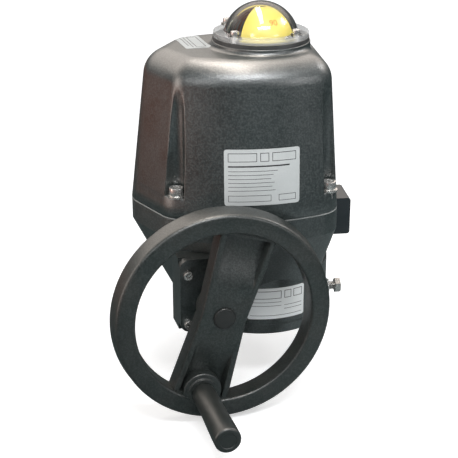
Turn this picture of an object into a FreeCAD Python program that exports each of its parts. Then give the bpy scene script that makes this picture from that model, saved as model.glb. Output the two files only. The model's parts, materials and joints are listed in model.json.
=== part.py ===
import FreeCAD
import Part

import math
import os

import Sketcher

# Electric quarter-turn valve actuator with an emergency handwheel.
# Millimetres, +Z up. The origin is the centre of the valve flange's lower face,
# on the output axis, and -Y is the side with the front label.
# The handwheel drives a worm; its axis is turned in plan by wheel_skew.

SIZES = {
    # Cast base: round foot with the valve flange, taper and joint rim
    "base_radius": 67.5,
    "foot_lip": 0.8,
    "foot_height": 9.0,
    "ledge_height": 56.5,
    "neck_radius": 66.0,
    "rim_bottom": 101.0,
    "joint_height": 121.0,
    "base_wall": 6.0,
    "floor_thickness": 14.0,
    "well_radius": 57.6,
    "bearing_step": 58.0,
    "bearing_plate_thickness": 6.0,
    "taper_foot": 24.0,
    "taper_scale": 0.68,
    # Plan outline of the rim and the cover's open edge
    "outline_left": 120.0,
    "outline_left_half": 16.0,
    "corner_left": 95.5,
    "corner_right": 67.0,
    "corner_half": 62.5,
    "front_radius": 160.0,
    "corner_round": 28.0,
    # Cover: a drafted shell with a crowned top and four screw pockets
    "cover_top": 266.0,
    "cover_wall": 5.0,
    "cover_roof": 7.0,
    "crown_scale": 0.865,
    "crown_round": 22.0,
    "crown_inside_round": 14.0,
    "pocket_radius": 9.6,
    "pocket_top_radius": 7.6,
    "pocket_top": 243.0,
    "pocket_floor": 20.2,
    "pillar_wall": 5.5,
    "cover_gasket_thickness": 1.0,
    "screw_left": 86.0,
    "screw_right": 56.0,
    "screw_half": 61.0,
    "cover_screw_radius": 4.0,
    "cover_screw_head": 6.5,
    "cover_screw_reach": 16.0,
    "washer_radius": 8.0,
    "washer_thickness": 1.6,
    # Position window and its seat
    "seat_radius": 46.0,
    "seat_height": 5.5,
    "window_bore": 33.5,
    "window_gasket": 3.5,
    "window_flange": 44.5,
    "window_flange_thickness": 5.0,
    "window_ball": 35.5,
    "window_wall": 2.5,
    "window_boss_radius": 5.5,
    "window_boss_height": 4.0,
    "window_screw_circle": 40.0,
    "window_screw_radius": 2.0,
    "window_screw_head": 3.6,
    "window_screw_reach": 17.0,
    # Position indicator
    "indicator_gap": 1.6,
    "indicator_low": 262.0,
    "indicator_shell": 2.5,
    "sector_thickness": 1.2,
    "sector_half_angle": 52.0,
    "sector_turn": 8.0,
    "fin_pitch": 11.0,
    "pole_radius": 7.0,
    # Output drive, worm wheel and stops
    "drive_square": 22.0,
    "drive_depth": 26.0,
    "drive_radius": 24.0,
    "drive_flange": 30.0,
    "drive_foot": 1.0,
    "drive_flange_low": 14.5,
    "seal_height": 3.0,
    "key_size": 6.0,
    "drive_top": 70.0,
    "running_gap": 0.05,
    "bush_wall": 3.0,
    "cam_shaft_radius": 6.0,
    "centre_distance": 67.3,
    "worm_height": 47.2,
    "wheel_teeth": 44.0,
    "wheel_width": 15.0,
    "gear_module": 2.5,
    "stop_height": 33.5,
    "stop_offset": 38.0,
    "stop_tip": 6.5,
    "stop_arm_reach": 47.0,
    "stop_arm_width": 12.0,
    "stop_plate": 9.0,
    "stop_screw_radius": 4.0,
    "stop_screw_end": 69.5,
    "stop_head_thickness": 5.3,
    "stop_head_flats": 13.0,
    "stop_nut_thickness": 6.5,
    "stop_boss_radius": 9.0,
    "stop_boss_front": 57.0,
    "stop_boss_back": 62.5,
    # Valve flange holes
    "flange_big_circle": 102.0,
    "flange_big_hole": 4.5,
    "flange_small_circle": 70.0,
    "flange_small_hole": 3.5,
    "flange_hole_depth": 12.0,
    # Worm line
    "wheel_skew": 8.5,
    "worm_root": 10.0,
    "worm_outside": 13.6,
    "worm_turns": 6.0,
    "worm_shaft_radius": 8.0,
    "worm_tube_radius": 22.0,
    "worm_tube_bore": 14.5,
    "worm_tube_back": 56.0,
    "worm_back_bearing": 43.5,
    "worm_front_bearing": 58.0,
    "bearing_width": 9.0,
    "gearbox_face": 68.0,
    "gearbox_half": 31.0,
    "gearbox_low": 30.0,
    "gearbox_high": 42.0,
    "plate_thickness": 8.0,
    "plate_round": 8.0,
    "plate_screw_side": 24.0,
    "plate_screw_up": 28.0,
    "plate_screw_down": 22.0,
    "plate_screw_radius": 2.5,
    "plate_screw_head": 4.25,
    # Handwheel
    "wheel_front": 120.0,
    "rim_radius": 102.5,
    "rim_front_radius": 99.5,
    "rim_inner": 82.0,
    "rim_depth": 22.0,
    "rim_round": 2.5,
    "bar_angle": 17.0,
    "bar_half": 27.0,
    "bar_waist": 21.5,
    "bar_flange": 6.0,
    "bar_recess": 3.5,
    "trough_start": 34.0,
    "trough_ramp": 20.0,
    "web_recess": 16.0,
    "web_thickness": 7.0,
    "hub_radius": 19.0,
    "hub_back": 84.0,
    "cap_radius": 11.0,
    "cap_thickness": 3.0,
    "crank_circle": 74.0,
    "crank_boss_radius": 18.0,
    "crank_boss_rise": 1.0,
    "grip_length": 84.0,
    "grip_radius": 12.0,
    "grip_waist": 10.2,
    "spindle_radius": 5.0,
    # Hand gear train and motor, behind the worm
    "train_start": 28.0,
    "train_gap": 2.0,
    "train_width": 8.0,
    "train_module": 1.0,
    "worm_gear_teeth": 32.0,
    "idler_teeth": 48.0,
    "pinion_teeth": 16.0,
    "gear_plate_half": 18.0,
    "gear_plate_thickness": 4.0,
    "gear_plate_top": 98.0,
    "motor_radius": 24.0,
    "motor_length": 58.0,
    "motor_shaft_radius": 3.0,
    # Inside the cover
    "chassis_height": 104.0,
    "chassis_thickness": 2.5,
    "chassis_left": 34.0,
    "chassis_right": 54.0,
    "chassis_half": 50.0,
    "pillar_radius": 4.0,
    "cam_radius": 14.0,
    "cam_thickness": 6.0,
    "cam_pitch": 10.0,
    "cam_start": 122.0,
    "switch_length": 20.0,
    "switch_width": 10.0,
    "switch_height": 7.0,
    "board_thickness": 1.6,
    "board_half": 38.0,
    "board_height": 62.0,
    # Cable entry box on the right
    "box_left": 48.0,
    "box_right": 92.5,
    "box_front": 4.0,
    "box_back": 44.0,
    "box_low": 70.0,
    "box_high": 108.0,
    "box_round": 3.0,
    "entry_radius": 8.0,
    "entry_bore": 5.0,
}


class Size:
    """A length that knows its number and the expression that gives it."""

    def __init__(self, value, text):
        self.value = float(value)
        self.text = text

    def __add__(self, other):
        other = as_size(other)
        return Size(self.value + other.value, f"({self.text} + {other.text})")

    def __radd__(self, other):
        return as_size(other) + self

    def __sub__(self, other):
        other = as_size(other)
        return Size(self.value - other.value, f"({self.text} - {other.text})")

    def __rsub__(self, other):
        return as_size(other) - self

    def __mul__(self, other):
        other = as_size(other)
        return Size(self.value * other.value, f"({self.text} * {other.text})")

    def __rmul__(self, other):
        return as_size(other) * self

    def __truediv__(self, other):
        other = as_size(other)
        return Size(self.value / other.value, f"({self.text} / {other.text})")

    def __neg__(self):
        return as_size(0) - self

    def root(self):
        return Size(math.sqrt(self.value), f"sqrt({self.text})")

    def cosine(self):
        return Size(math.cos(math.radians(self.value)), f"cos({self.text} * 1 deg)")

    def sine(self):
        return Size(math.sin(math.radians(self.value)), f"sin({self.text} * 1 deg)")


def as_size(number):
    """A plain number becomes a Size; a Size stays as it is."""
    return number if isinstance(number, Size) else Size(number, f"({float(number):.6f})")


class SizeSheet:
    """The spreadsheet: gives each of its values by name, as a Size."""

    def __init__(self, document, sizes):
        self._sheet = document.addObject("Spreadsheet::Sheet", "Sizes")
        self._values = {}
        for alias, number in sizes.items():
            self._add_row(alias, str(number), number)

    def _add_row(self, alias, cell, value):
        self._values[alias] = value
        row = len(self._values)
        self._sheet.set(f"A{row}", alias)
        self._sheet.set(f"B{row}", cell)
        self._sheet.setAlias(f"B{row}", alias)

    def derive(self, alias, size):
        """Puts a worked-out size on the sheet and gives it back by its own name."""
        self._add_row(alias, "=" + size.text.replace("Sizes.", ""), size.value)
        return getattr(self, alias)

    def __getattr__(self, alias):
        return Size(self._values[alias], f"Sizes.{alias}")


doc = FreeCAD.newDocument("valve_actuator")
dim = SizeSheet(doc, SIZES)

CROWN_STEPS = 5
FIN_COUNT = 7
TURNS = {
    "z": FreeCAD.Rotation(),
    "y": FreeCAD.Rotation(FreeCAD.Vector(1, 0, 0), -90),
    "x": FreeCAD.Rotation(FreeCAD.Vector(0, 1, 0), 90),
    "-y": FreeCAD.Rotation(FreeCAD.Vector(1, 0, 0), 90),
}
pieces = {}


def bind(thing, prop, size):
    """Ties one property to its expression on the sheet."""
    thing.setExpression(prop, as_size(size).text)


def place(thing, at=(0, 0, 0), axis="z"):
    """Puts a thing at a point, with its own Z turned to the axis."""
    thing.Placement = FreeCAD.Placement(FreeCAD.Vector(), TURNS[axis])
    for letter, where in zip("xyz", at):
        bind(thing, f"Placement.Base.{letter}", where)
    return thing


def cylinder(name, radius, height, at=(0, 0, 0), axis="z"):
    thing = doc.addObject("Part::Cylinder", name)
    bind(thing, "Radius", radius)
    bind(thing, "Height", height)
    return place(thing, at, axis)


def ring(name, radius, bore, height, at=(0, 0, 0), axis="z"):
    body = cylinder(name + "_outside", radius, height, at, axis)
    hole = cylinder(name + "_hole", bore, height, at, axis)
    return cut(name, body, [hole])


def box(name, lengths, at=(0, 0, 0)):
    thing = doc.addObject("Part::Box", name)
    for prop, length in zip(("Length", "Width", "Height"), lengths):
        bind(thing, prop, length)
    return place(thing, at)


def hexagon(name, flats, height, at=(0, 0, 0), axis="z"):
    thing = doc.addObject("Part::Prism", name)
    thing.Polygon = 6
    bind(thing, "Circumradius", as_size(flats) / math.sqrt(3))
    bind(thing, "Height", height)
    return place(thing, at, axis)


def join(name, shapes):
    thing = doc.addObject("Part::MultiFuse", name)
    thing.Shapes = shapes
    return thing


def cut(name, base, tools):
    thing = doc.addObject("Part::Cut", name)
    thing.Base = base
    thing.Tool = tools[0] if len(tools) == 1 else join(name + "_tools", tools)
    return thing


def overlap(name, shapes):
    thing = doc.addObject("Part::MultiCommon", name)
    thing.Shapes = shapes
    return thing


def group(name, shapes):
    thing = doc.addObject("Part::Compound", name)
    thing.Links = shapes
    return thing


def piece(label, thing):
    """Names a finished sub-part; its label names its file."""
    thing.Label = label
    pieces[label] = thing
    return thing


def plane_of(body, role):
    return next(f for f in body.Origin.OriginFeatures if f.Role == role)


def sketch_in(body, name, role, lift=0):
    sketch = body.newObject("Sketcher::SketchObject", name)
    sketch.AttachmentSupport = (plane_of(body, role), [""])
    sketch.MapMode = "FlatFace"
    bind(sketch, "AttachmentOffset.Base.z", lift)
    return sketch


def arc_through(start, end, radius):
    """The short arc from start to end that bulges to the right of its run."""
    chord = end - start
    half = chord.Length / 2
    middle = (start + end) / 2
    side = FreeCAD.Vector(-chord.y, chord.x, 0).normalize()
    centre = middle + side * math.sqrt(radius * radius - half * half)
    first = math.atan2(start.y - centre.y, start.x - centre.x)
    last = math.atan2(end.y - centre.y, end.x - centre.x)
    if last < first:
        last += 2 * math.pi
    circle = Part.Circle(centre, FreeCAD.Vector(0, 0, 1), radius)
    return Part.ArcOfCircle(circle, first, last)


def draw(sketch, corners):
    """Draws a closed outline, counter-clockwise.

    Each corner is (across, up) or (across, up, radius), where the radius is that
    of the outward arc which runs on to the next corner. Every corner and radius
    is tied to the sheet.
    """
    count = len(corners)
    spots = [FreeCAD.Vector(as_size(c[0]).value, as_size(c[1]).value, 0) for c in corners]
    for number, corner in enumerate(corners):
        start, end = spots[number], spots[(number + 1) % count]
        if len(corner) == 3:
            sketch.addGeometry(arc_through(start, end, as_size(corner[2]).value), False)
        else:
            sketch.addGeometry(Part.LineSegment(start, end), False)
    for number in range(count):
        rule = ("Coincident", number, 2, (number + 1) % count, 1)
        sketch.addConstraint(Sketcher.Constraint(*rule))
    for number, corner in enumerate(corners):
        for kind, size in zip(("DistanceX", "DistanceY"), corner):
            size = as_size(size)
            rule = (kind, -1, 1, number, 1, size.value)
            index = sketch.addConstraint(Sketcher.Constraint(*rule))
            sketch.setExpression(f"Constraints[{index}]", size.text)
        if len(corner) == 3:
            size = as_size(corner[2])
            rule = ("Radius", number, size.value)
            index = sketch.addConstraint(Sketcher.Constraint(*rule))
            sketch.setExpression(f"Constraints[{index}]", size.text)
    return sketch


def turned(name, corners, at=(0, 0, 0), axis="z"):
    """A body turned about its own axis from an outline of (radius, height)."""
    body = doc.addObject("PartDesign::Body", name)
    sketch = draw(sketch_in(body, name + "_profile", "XZ_Plane"), corners)
    turn = body.newObject("PartDesign::Revolution", name + "_turn")
    turn.Profile = (sketch, [""])
    turn.ReferenceAxis = (sketch, ["V_Axis"])
    turn.Angle = 360
    return place(body, at, axis)


def extruded(name, corners, length, at=(0, 0, 0), axis="z"):
    """A body padded along its own axis from a plan outline."""
    body = doc.addObject("PartDesign::Body", name)
    sketch = draw(sketch_in(body, name + "_plan", "XY_Plane"), corners)
    pad = body.newObject("PartDesign::Pad", name + "_pad")
    pad.Profile = (sketch, [""])
    bind(pad, "Length", length)
    return place(body, at, axis)


def between(centre, point, share):
    """The point at a share of the way from a centre to a point."""
    return tuple(c + (p - c) * share for c, p in zip(centre, point))


class PlanOutline:
    """The plan of cover and rim: bowed front and back, a nosed left end, rounded corners.

    Every corner arc runs on smoothly from its neighbours. The touching points are
    worked out on the sheet, so the outline stays smooth when a size changes.
    """

    def __init__(self):
        left, right, half = dim.corner_left, dim.corner_right, dim.corner_half
        bow, turn = dim.front_radius, dim.corner_round
        reach, nose = dim.outline_left, dim.outline_left_half
        middle = dim.derive("bow_middle", (right - left) / 2)
        span = dim.derive("bow_span", (right + left) / 2)
        back = dim.derive("bow_back", (bow * bow - span * span).root() - half)
        run, rise = reach - left, half - nose
        slope = dim.derive("nose_slope_length", (run * run + rise * rise).root())
        self.nose_radius = dim.derive("nose_radius", nose * slope / run)
        self.nose_centre = (
            dim.derive("nose_centre", self.nose_radius * rise / slope - reach),
            as_size(0),
        )
        side = dim.derive("right_turn_x", right - turn)
        reach_in = bow - turn
        drop = (reach_in * reach_in - (side - middle) * (side - middle)).root()
        self.right_centre = (side, dim.derive("right_turn_y", back - drop))
        inward = (rise / slope, run / slope)
        along = (-run / slope, rise / slope)
        start_x = dim.derive("slope_start_x", inward[0] * turn - left - middle)
        start_y = dim.derive("slope_start_y", inward[1] * turn - half - back)
        lean = dim.derive("slope_lean", start_x * along[0] + start_y * along[1])
        far = start_x * start_x + start_y * start_y - reach_in * reach_in
        step = dim.derive("slope_step", -lean - (lean * lean - far).root())
        self.left_centre = (
            dim.derive("left_turn_x", start_x + middle + along[0] * step),
            dim.derive("left_turn_y", start_y + back + along[1] * step),
        )
        self.inward = inward
        self.bow_centre = (middle, back)

    def corners(self, inset=0, scale=1):
        """The outline drawn in by an inset, then scaled about the output axis."""
        turn = dim.corner_round - inset
        bow = dim.front_radius - inset
        nose = self.nose_radius - inset
        share = (dim.front_radius - inset) / (dim.front_radius - dim.corner_round)
        away = (-self.inward[0], -self.inward[1])
        nose_end = tuple(c + a * nose for c, a in zip(self.nose_centre, away))
        slope_end = tuple(c + a * turn for c, a in zip(self.left_centre, away))
        bow_left = between(self.bow_centre, self.left_centre, share)
        bow_right = between(self.bow_centre, self.right_centre, share)
        side = (dim.corner_right - inset, self.right_centre[1])
        front = [
            (*nose_end, None),
            (*slope_end, turn),
            (*bow_left, bow),
            (*bow_right, turn),
            (*side, None),
        ]
        back = [(x, -y, radius) for x, y, radius in reversed(front)]
        back_radii = [turn, bow, turn, None, nose]
        back = [(x, y, radius) for (x, y, _), radius in zip(back, back_radii)]
        scaled = []
        for x, y, radius in front + back:
            spot = (x * scale, y * scale)
            scaled.append(spot if radius is None else (*spot, radius * scale))
        return scaled


def add_loft(body, name, sections, ruled):
    """Adds a loft to a body through a run of (outline, height) sections."""
    sketches = []
    for number, (corners, height) in enumerate(sections):
        sketch = sketch_in(body, f"{name}_section_{number + 1}", "XY_Plane", height)
        sketches.append(draw(sketch, corners))
    loft = body.newObject("PartDesign::AdditiveLoft", name)
    loft.Profile = (sketches[0], [""])
    loft.Sections = [(sketch, [""]) for sketch in sketches[1:]]
    loft.Ruled = ruled
    return loft


def lofted(name, low_corners, low, high_corners, high):
    """A straight-sided solid lofted between two plan outlines."""
    body = doc.addObject("PartDesign::Body", name)
    add_loft(body, name + "_loft", [(low_corners, low), (high_corners, high)], True)
    return body


def crowned(name, inset, high, crown_radius):
    """A drafted solid on the plan outline, whose walls bend over smoothly into its top."""
    full_height = dim.cover_top - cover_low

    def scale_at(height):
        return 1 - (1 - dim.crown_scale) * (height - cover_low) / full_height

    def section(height, extra):
        scale = scale_at(height)
        return plan.corners((inset + extra) / scale, scale), height

    body = doc.addObject("PartDesign::Body", name)
    bend = high - crown_radius
    walls = [section(cover_low, as_size(0)), section(bend, as_size(0))]
    add_loft(body, name + "_walls", walls, True)
    arc = []
    for step in range(CROWN_STEPS + 1):
        angle = math.pi / 2 * step / CROWN_STEPS
        height = bend + crown_radius * math.sin(angle)
        arc.append(section(height, crown_radius * (1 - math.cos(angle))))
    add_loft(body, name + "_crown", arc, False)
    return body


def screw_spots():
    """The four cover screws, seen from above."""
    for across in (-dim.screw_left, dim.screw_right):
        for along in (-dim.screw_half, dim.screw_half):
            yield across, along


def tag(name, number):
    return f"{name}_{number + 1}"


def cap_screw(name, radius, head_radius, reach, at, head_height=None):
    """A socket head cap screw that stands on its seat, with its head up."""
    across, along, seat = at
    height = radius * 2 if head_height is None else head_height
    head = cylinder(name + "_head", head_radius, height, at)
    shank = cylinder(name + "_shank", radius, reach, (across, along, seat - reach))
    socket = hexagon(name + "_socket", radius * 1.5, height, (across, along, seat + height * 0.45))
    return cut(name, join(name + "_blank", [head, shank]), [socket])


def worm_line(thing):
    """Moves a thing drawn about the worm's own axis onto that axis in the base."""
    upright = FreeCAD.Vector(0, 0, 1)
    turn = FreeCAD.Rotation(upright, dim.wheel_skew.value)
    thing.Placement = FreeCAD.Placement(FreeCAD.Vector(), turn)
    bind(thing, "Placement.Rotation.Angle", dim.wheel_skew)
    bind(thing, "Placement.Base.x", -dim.centre_distance * dim.wheel_skew.cosine())
    bind(thing, "Placement.Base.y", -dim.centre_distance * dim.wheel_skew.sine())
    bind(thing, "Placement.Base.z", dim.worm_height)
    return thing


def turned_about_axis(thing, degrees):
    """Turns a thing about its own upright axis."""
    thing.Placement = FreeCAD.Placement(
        FreeCAD.Vector(), FreeCAD.Rotation(FreeCAD.Vector(0, 0, 1), 1.0)
    )
    bind(thing, "Placement.Rotation.Angle", degrees)
    return thing


def plate_spots():
    """The four screws of the worm cover plate, as seen from the front."""
    for across in (-dim.plate_screw_side, dim.plate_screw_side):
        for up in (-dim.plate_screw_down, dim.plate_screw_up):
            yield across, up


def rectangle(left, low, right, high):
    return [(left, low), (right, low), (right, high), (left, high)]


def round_rectangle(left, low, right, high, corner):
    return [
        (left + corner, low),
        (right - corner, low, corner),
        (right, low + corner),
        (right, high - corner, corner),
        (right - corner, high),
        (left + corner, high, corner),
        (left, high - corner),
        (left, low + corner, corner),
    ]


plan = PlanOutline()
cover_low = dim.joint_height + dim.cover_gasket_thickness
screw_seat = dim.joint_height + dim.pocket_floor
gear_start = dim.train_start + dim.gear_plate_thickness + dim.train_gap
worm_wheel_radius = dim.gear_module * dim.wheel_teeth / 2
worm_radius = dim.centre_distance - worm_wheel_radius
wheel_low = dim.worm_height - dim.wheel_width / 2

plate_outline = round_rectangle(
    -dim.gearbox_half, -dim.gearbox_low, dim.gearbox_half, dim.gearbox_high, dim.plate_round
)

# Cast base housing

rise_share = (dim.ledge_height - 4 - dim.taper_foot) / (dim.rim_bottom - dim.taper_foot)
cavity_scale = dim.taper_scale + (1 - dim.taper_scale) * rise_share
taper = lofted(
    "taper", plan.corners(0, dim.taper_scale), dim.taper_foot, plan.corners(), dim.rim_bottom
)
rim_band = extruded(
    "rim_band", plan.corners(), dim.joint_height - dim.rim_bottom, (0, 0, dim.rim_bottom)
)
neck = cylinder("neck", dim.neck_radius, dim.rim_bottom)
block_start = dim.gearbox_face * 0.65
worm_tube = worm_line(
    join(
        "worm_tube",
        [
            cylinder(
                "worm_tube_wall",
                dim.worm_tube_radius,
                dim.worm_tube_back + block_start,
                (0, -block_start, 0),
                "y",
            ),
            extruded(
                "gearbox_block",
                rectangle(
                    -dim.gearbox_half, -dim.gearbox_low, dim.gearbox_half, dim.gearbox_high
                ),
                dim.gearbox_face - block_start,
                (0, -block_start, 0),
                "-y",
            ),
        ],
    )
)
plate_ribs = worm_line(
    join(
        "plate_ribs",
        [
            box(
                f"plate_rib_{side}",
                (12, 8, 26),
                (edge, dim.train_start - 8, 10),
            )
            for side, edge in (("left", -dim.gear_plate_half), ("right", dim.gear_plate_half - 12))
        ],
    )
)
cavity_blank = join(
    "cavity_blank",
    [
        cylinder(
            "wheel_well",
            dim.well_radius,
            dim.rim_bottom - dim.floor_thickness,
            (0, 0, dim.floor_thickness),
        ),
        cylinder(
            "bearing_well",
            dim.neck_radius - dim.base_wall + 1,
            dim.rim_bottom - dim.bearing_step,
            (0, 0, dim.bearing_step),
        ),
        lofted(
            "taper_cavity",
            plan.corners(dim.base_wall, cavity_scale),
            dim.ledge_height - 4,
            plan.corners(dim.base_wall),
            dim.rim_bottom,
        ),
        extruded(
            "rim_pocket",
            plan.corners(dim.base_wall),
            dim.joint_height - dim.rim_bottom,
            (0, 0, dim.rim_bottom),
        ),
    ],
)
screw_posts = []
cover_screw_holes = []
for number, (across, along) in enumerate(screw_spots()):
    post_radius = dim.cover_screw_radius + dim.pillar_wall
    post_at = (across, along, dim.rim_bottom)
    post_length = dim.joint_height - dim.rim_bottom
    screw_posts.append(cylinder(tag("screw_post", number), post_radius, post_length, post_at))
    hole_at = (across, along, dim.joint_height - dim.cover_screw_reach)
    cover_screw_holes.append(
        cylinder(
            tag("base_screw_hole", number),
            dim.cover_screw_radius + dim.running_gap,
            dim.cover_screw_reach,
            hole_at,
        )
    )
base_shell = cut(
    "base_shell",
    join(
        "base_outside",
        [
            cylinder("foot", dim.base_radius + dim.foot_lip, dim.foot_height),
            cylinder("drum", dim.base_radius, dim.ledge_height),
            neck,
            taper,
            rim_band,
        ],
    ),
    [cut("base_cavity", cavity_blank, screw_posts)],
)
stop_bosses = [
    cylinder(
        "stop_boss_front",
        dim.stop_boss_radius,
        12,
        (dim.stop_boss_front - 12, -dim.stop_offset, dim.stop_height),
        "x",
    ),
    cylinder(
        "stop_boss_back",
        dim.stop_boss_radius,
        14,
        (-dim.stop_offset, dim.stop_boss_back - 14, dim.stop_height),
        "y",
    ),
]
base_blank = join("base_blank", [base_shell, worm_tube, plate_ribs, *stop_bosses])
flange_holes = []
for number in range(4):
    angle = math.radians(45 + 90 * number)
    for kind in ("big", "small"):
        circle = getattr(dim, f"flange_{kind}_circle") / 2
        spot = (circle * math.cos(angle), circle * math.sin(angle), 0)
        radius = getattr(dim, f"flange_{kind}_hole")
        name = tag(f"flange_{kind}_hole", number)
        flange_holes.append(cylinder(name, radius, dim.flange_hole_depth, spot))
worm_bores = worm_line(
    join(
        "worm_bores",
        [
            cylinder(
                "worm_bore",
                dim.worm_tube_bore,
                dim.gearbox_face + dim.worm_back_bearing + dim.bearing_width,
                (0, -dim.gearbox_face, 0),
                "y",
            ),
            place(
                extruded("plate_pocket", plate_outline, dim.gearbox_face / 2),
                (0, -dim.gearbox_face, 0),
                "-y",
            ),
            *[
                cylinder(
                    tag("block_screw_hole", number),
                    dim.plate_screw_radius + dim.running_gap,
                    12,
                    (across, -dim.gearbox_face, up),
                    "y",
                )
                for number, (across, up) in enumerate(plate_spots())
            ],
            cylinder(
                "worm_gear_bore",
                dim.worm_gear_teeth / 2 + 2,
                dim.train_width + 3,
                (0, gear_start - 1.5, 0),
                "y",
            ),
            cylinder(
                "idler_slot",
                dim.idler_teeth / 2 + 2,
                dim.train_width + 3,
                (0, gear_start - 1.5, (dim.worm_gear_teeth + dim.idler_teeth) / 2),
                "y",
            ),
        ],
    )
)
stop_screw_length = dim.stop_screw_end - dim.stop_tip
base = cut(
    "base_casting",
    base_blank,
    [
        worm_bores,
        cylinder(
            "wheel_clearance", dim.well_radius, dim.wheel_width + 2, (0, 0, wheel_low - 1)
        ),
        cylinder(
            "arm_clearance",
            dim.stop_arm_reach + 2,
            wheel_low - dim.floor_thickness,
            (0, 0, dim.floor_thickness),
        ),
        cylinder("drive_bore", dim.drive_radius + dim.bush_wall, dim.floor_thickness),
        cylinder(
            "stop_hole_front",
            dim.stop_screw_radius + dim.running_gap,
            stop_screw_length,
            (dim.stop_tip, -dim.stop_offset, dim.stop_height),
            "x",
        ),
        cylinder(
            "stop_hole_back",
            dim.stop_screw_radius + dim.running_gap,
            stop_screw_length,
            (-dim.stop_offset, dim.stop_tip, dim.stop_height),
            "y",
        ),
        cylinder(
            "stop_face_front",
            dim.stop_boss_radius,
            20,
            (dim.stop_boss_front, -dim.stop_offset, dim.stop_height),
            "x",
        ),
        cylinder(
            "stop_face_back",
            dim.stop_boss_radius,
            20,
            (-dim.stop_offset, dim.stop_boss_back, dim.stop_height),
            "y",
        ),
        cylinder(
            "cable_hole",
            dim.entry_radius,
            30,
            (dim.box_left, (dim.box_front + dim.box_back) / 2, (dim.box_low + dim.box_high) / 2),
            "x",
        ),
        *flange_holes,
        *cover_screw_holes,
    ],
)
piece("base_housing", base)

# Cover with its crown, screw pockets and window seat

pocket_height = dim.pocket_top - screw_seat
pockets = []
pillars = []
for number, (across, along) in enumerate(screw_spots()):
    pocket = doc.addObject("Part::Cone", tag("pocket", number))
    bind(pocket, "Radius1", dim.pocket_radius)
    bind(pocket, "Radius2", dim.pocket_top_radius)
    bind(pocket, "Height", pocket_height)
    pockets.append(place(pocket, (across, along, screw_seat)))
    pillars.append(
        cylinder(
            tag("pillar", number),
            dim.pocket_radius + dim.cover_wall - 1,
            dim.pocket_top + dim.cover_wall - cover_low,
            (across, along, cover_low),
        )
    )
    hole_radius = dim.cover_screw_radius + 0.5
    hole_at = (across, along, cover_low)
    hole = cylinder(tag("cover_hole", number), hole_radius, screw_seat - cover_low, hole_at)
    pockets.append(hole)
cover_outside = crowned("cover_outside", as_size(0), dim.cover_top, dim.crown_round)
cover_inside = crowned(
    "cover_inside", dim.cover_wall, dim.cover_top - dim.cover_roof, dim.crown_inside_round
)
roof_low = dim.cover_top - dim.cover_roof
window_seat = cylinder(
    "window_seat", dim.seat_radius, dim.cover_roof + dim.seat_height, (0, 0, roof_low)
)
cover_casting = cut(
    "cover_casting",
    join(
        "cover_blank",
        [
            cut("cover_shell", cover_outside, [cut("cover_hollow", cover_inside, pillars)]),
            window_seat,
        ],
    ),
    [
        *pockets,
        cylinder("window_hole", dim.window_bore, 60, (0, 0, dim.cover_top - 40)),
    ],
)

# Cover trim: gasket, screws, washers

gasket_inside = extruded("gasket_inside", plan.corners(dim.base_wall), dim.cover_gasket_thickness)
gasket_posts = []
gasket_holes = []
cover_screws = []
cover_washers = []
for number, (across, along) in enumerate(screw_spots()):
    spot = (across, along, 0)
    post_radius = dim.cover_screw_radius + dim.pillar_wall
    hole_radius = dim.cover_screw_radius + 0.5
    thickness = dim.cover_gasket_thickness
    gasket_posts.append(cylinder(tag("gasket_post", number), post_radius, thickness, spot))
    gasket_holes.append(cylinder(tag("gasket_hole", number), hole_radius, thickness, spot))
    washer_at = (across, along, screw_seat)
    cover_washers.append(
        ring(
            tag("cover_washer", number),
            dim.washer_radius,
            dim.cover_screw_radius + 0.3,
            dim.washer_thickness,
            washer_at,
        )
    )
    seat = screw_seat + dim.washer_thickness
    cover_screws.append(
        cap_screw(
            tag("cover_screw", number),
            dim.cover_screw_radius,
            dim.cover_screw_head,
            seat - dim.joint_height + dim.cover_screw_reach,
            (across, along, seat),
        )
    )
gasket = cut(
    "cover_gasket_ring",
    extruded("gasket_outside", plan.corners(), dim.cover_gasket_thickness),
    [cut("gasket_opening", gasket_inside, gasket_posts), *gasket_holes],
)
piece("cover_gasket", place(gasket, (0, 0, dim.joint_height)))
piece("cover_screws", group("cover_screw_group", cover_screws))
piece("cover_washers", group("cover_washer_group", cover_washers))

# Window over the position indicator

gasket_low = dim.cover_top + dim.seat_height
flange_low = gasket_low + dim.window_gasket
flange_top = flange_low + dim.window_flange_thickness
ball_height = gasket_low - 0.1
boss_top = flange_top + dim.window_boss_height


def ball(name, radius, height, lowest=-90):
    """A ball, or its upper half if lowest is 0."""
    thing = doc.addObject("Part::Sphere", name)
    thing.Angle1 = lowest
    bind(thing, "Radius", radius)
    return place(thing, (0, 0, height))


def window_spots():
    """The four window screws, between the compass points."""
    for number in range(4):
        angle = math.radians(45 + 90 * number)
        circle = dim.window_screw_circle
        yield circle * math.cos(angle), circle * math.sin(angle)


window_bosses = []
window_holes = []
window_screws = []
for number, (across, along) in enumerate(window_spots()):
    window_bosses.append(
        cylinder(
            tag("window_boss", number),
            dim.window_boss_radius,
            boss_top - flange_low,
            (across, along, flange_low),
        )
    )
    hole_at = (across, along, boss_top - dim.window_screw_reach)
    window_holes.append(
        cylinder(
            tag("window_screw_hole", number),
            dim.window_screw_radius + 0.2,
            dim.window_screw_reach,
            hole_at,
        )
    )
    window_screws.append(
        cap_screw(
            tag("window_screw", number),
            dim.window_screw_radius,
            dim.window_screw_head,
            dim.window_screw_reach,
            (across, along, boss_top),
        )
    )
window_blank = join(
    "window_blank",
    [
        cylinder("window_plate", dim.window_flange, flange_top - flange_low, (0, 0, flange_low)),
        ball("window_dome", dim.window_ball, ball_height),
        *window_bosses,
    ],
)
window_low_cut = cylinder(
    "window_low_cut",
    dim.window_flange,
    dim.window_ball * 1.5,
    (0, 0, flange_low - dim.window_ball * 1.5),
)
window = cut(
    "window_shell",
    window_blank,
    [
        window_low_cut,
        ball("window_hollow", dim.window_ball - dim.window_wall, ball_height),
        *window_holes,
    ],
)
piece("dome_window", window)
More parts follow.
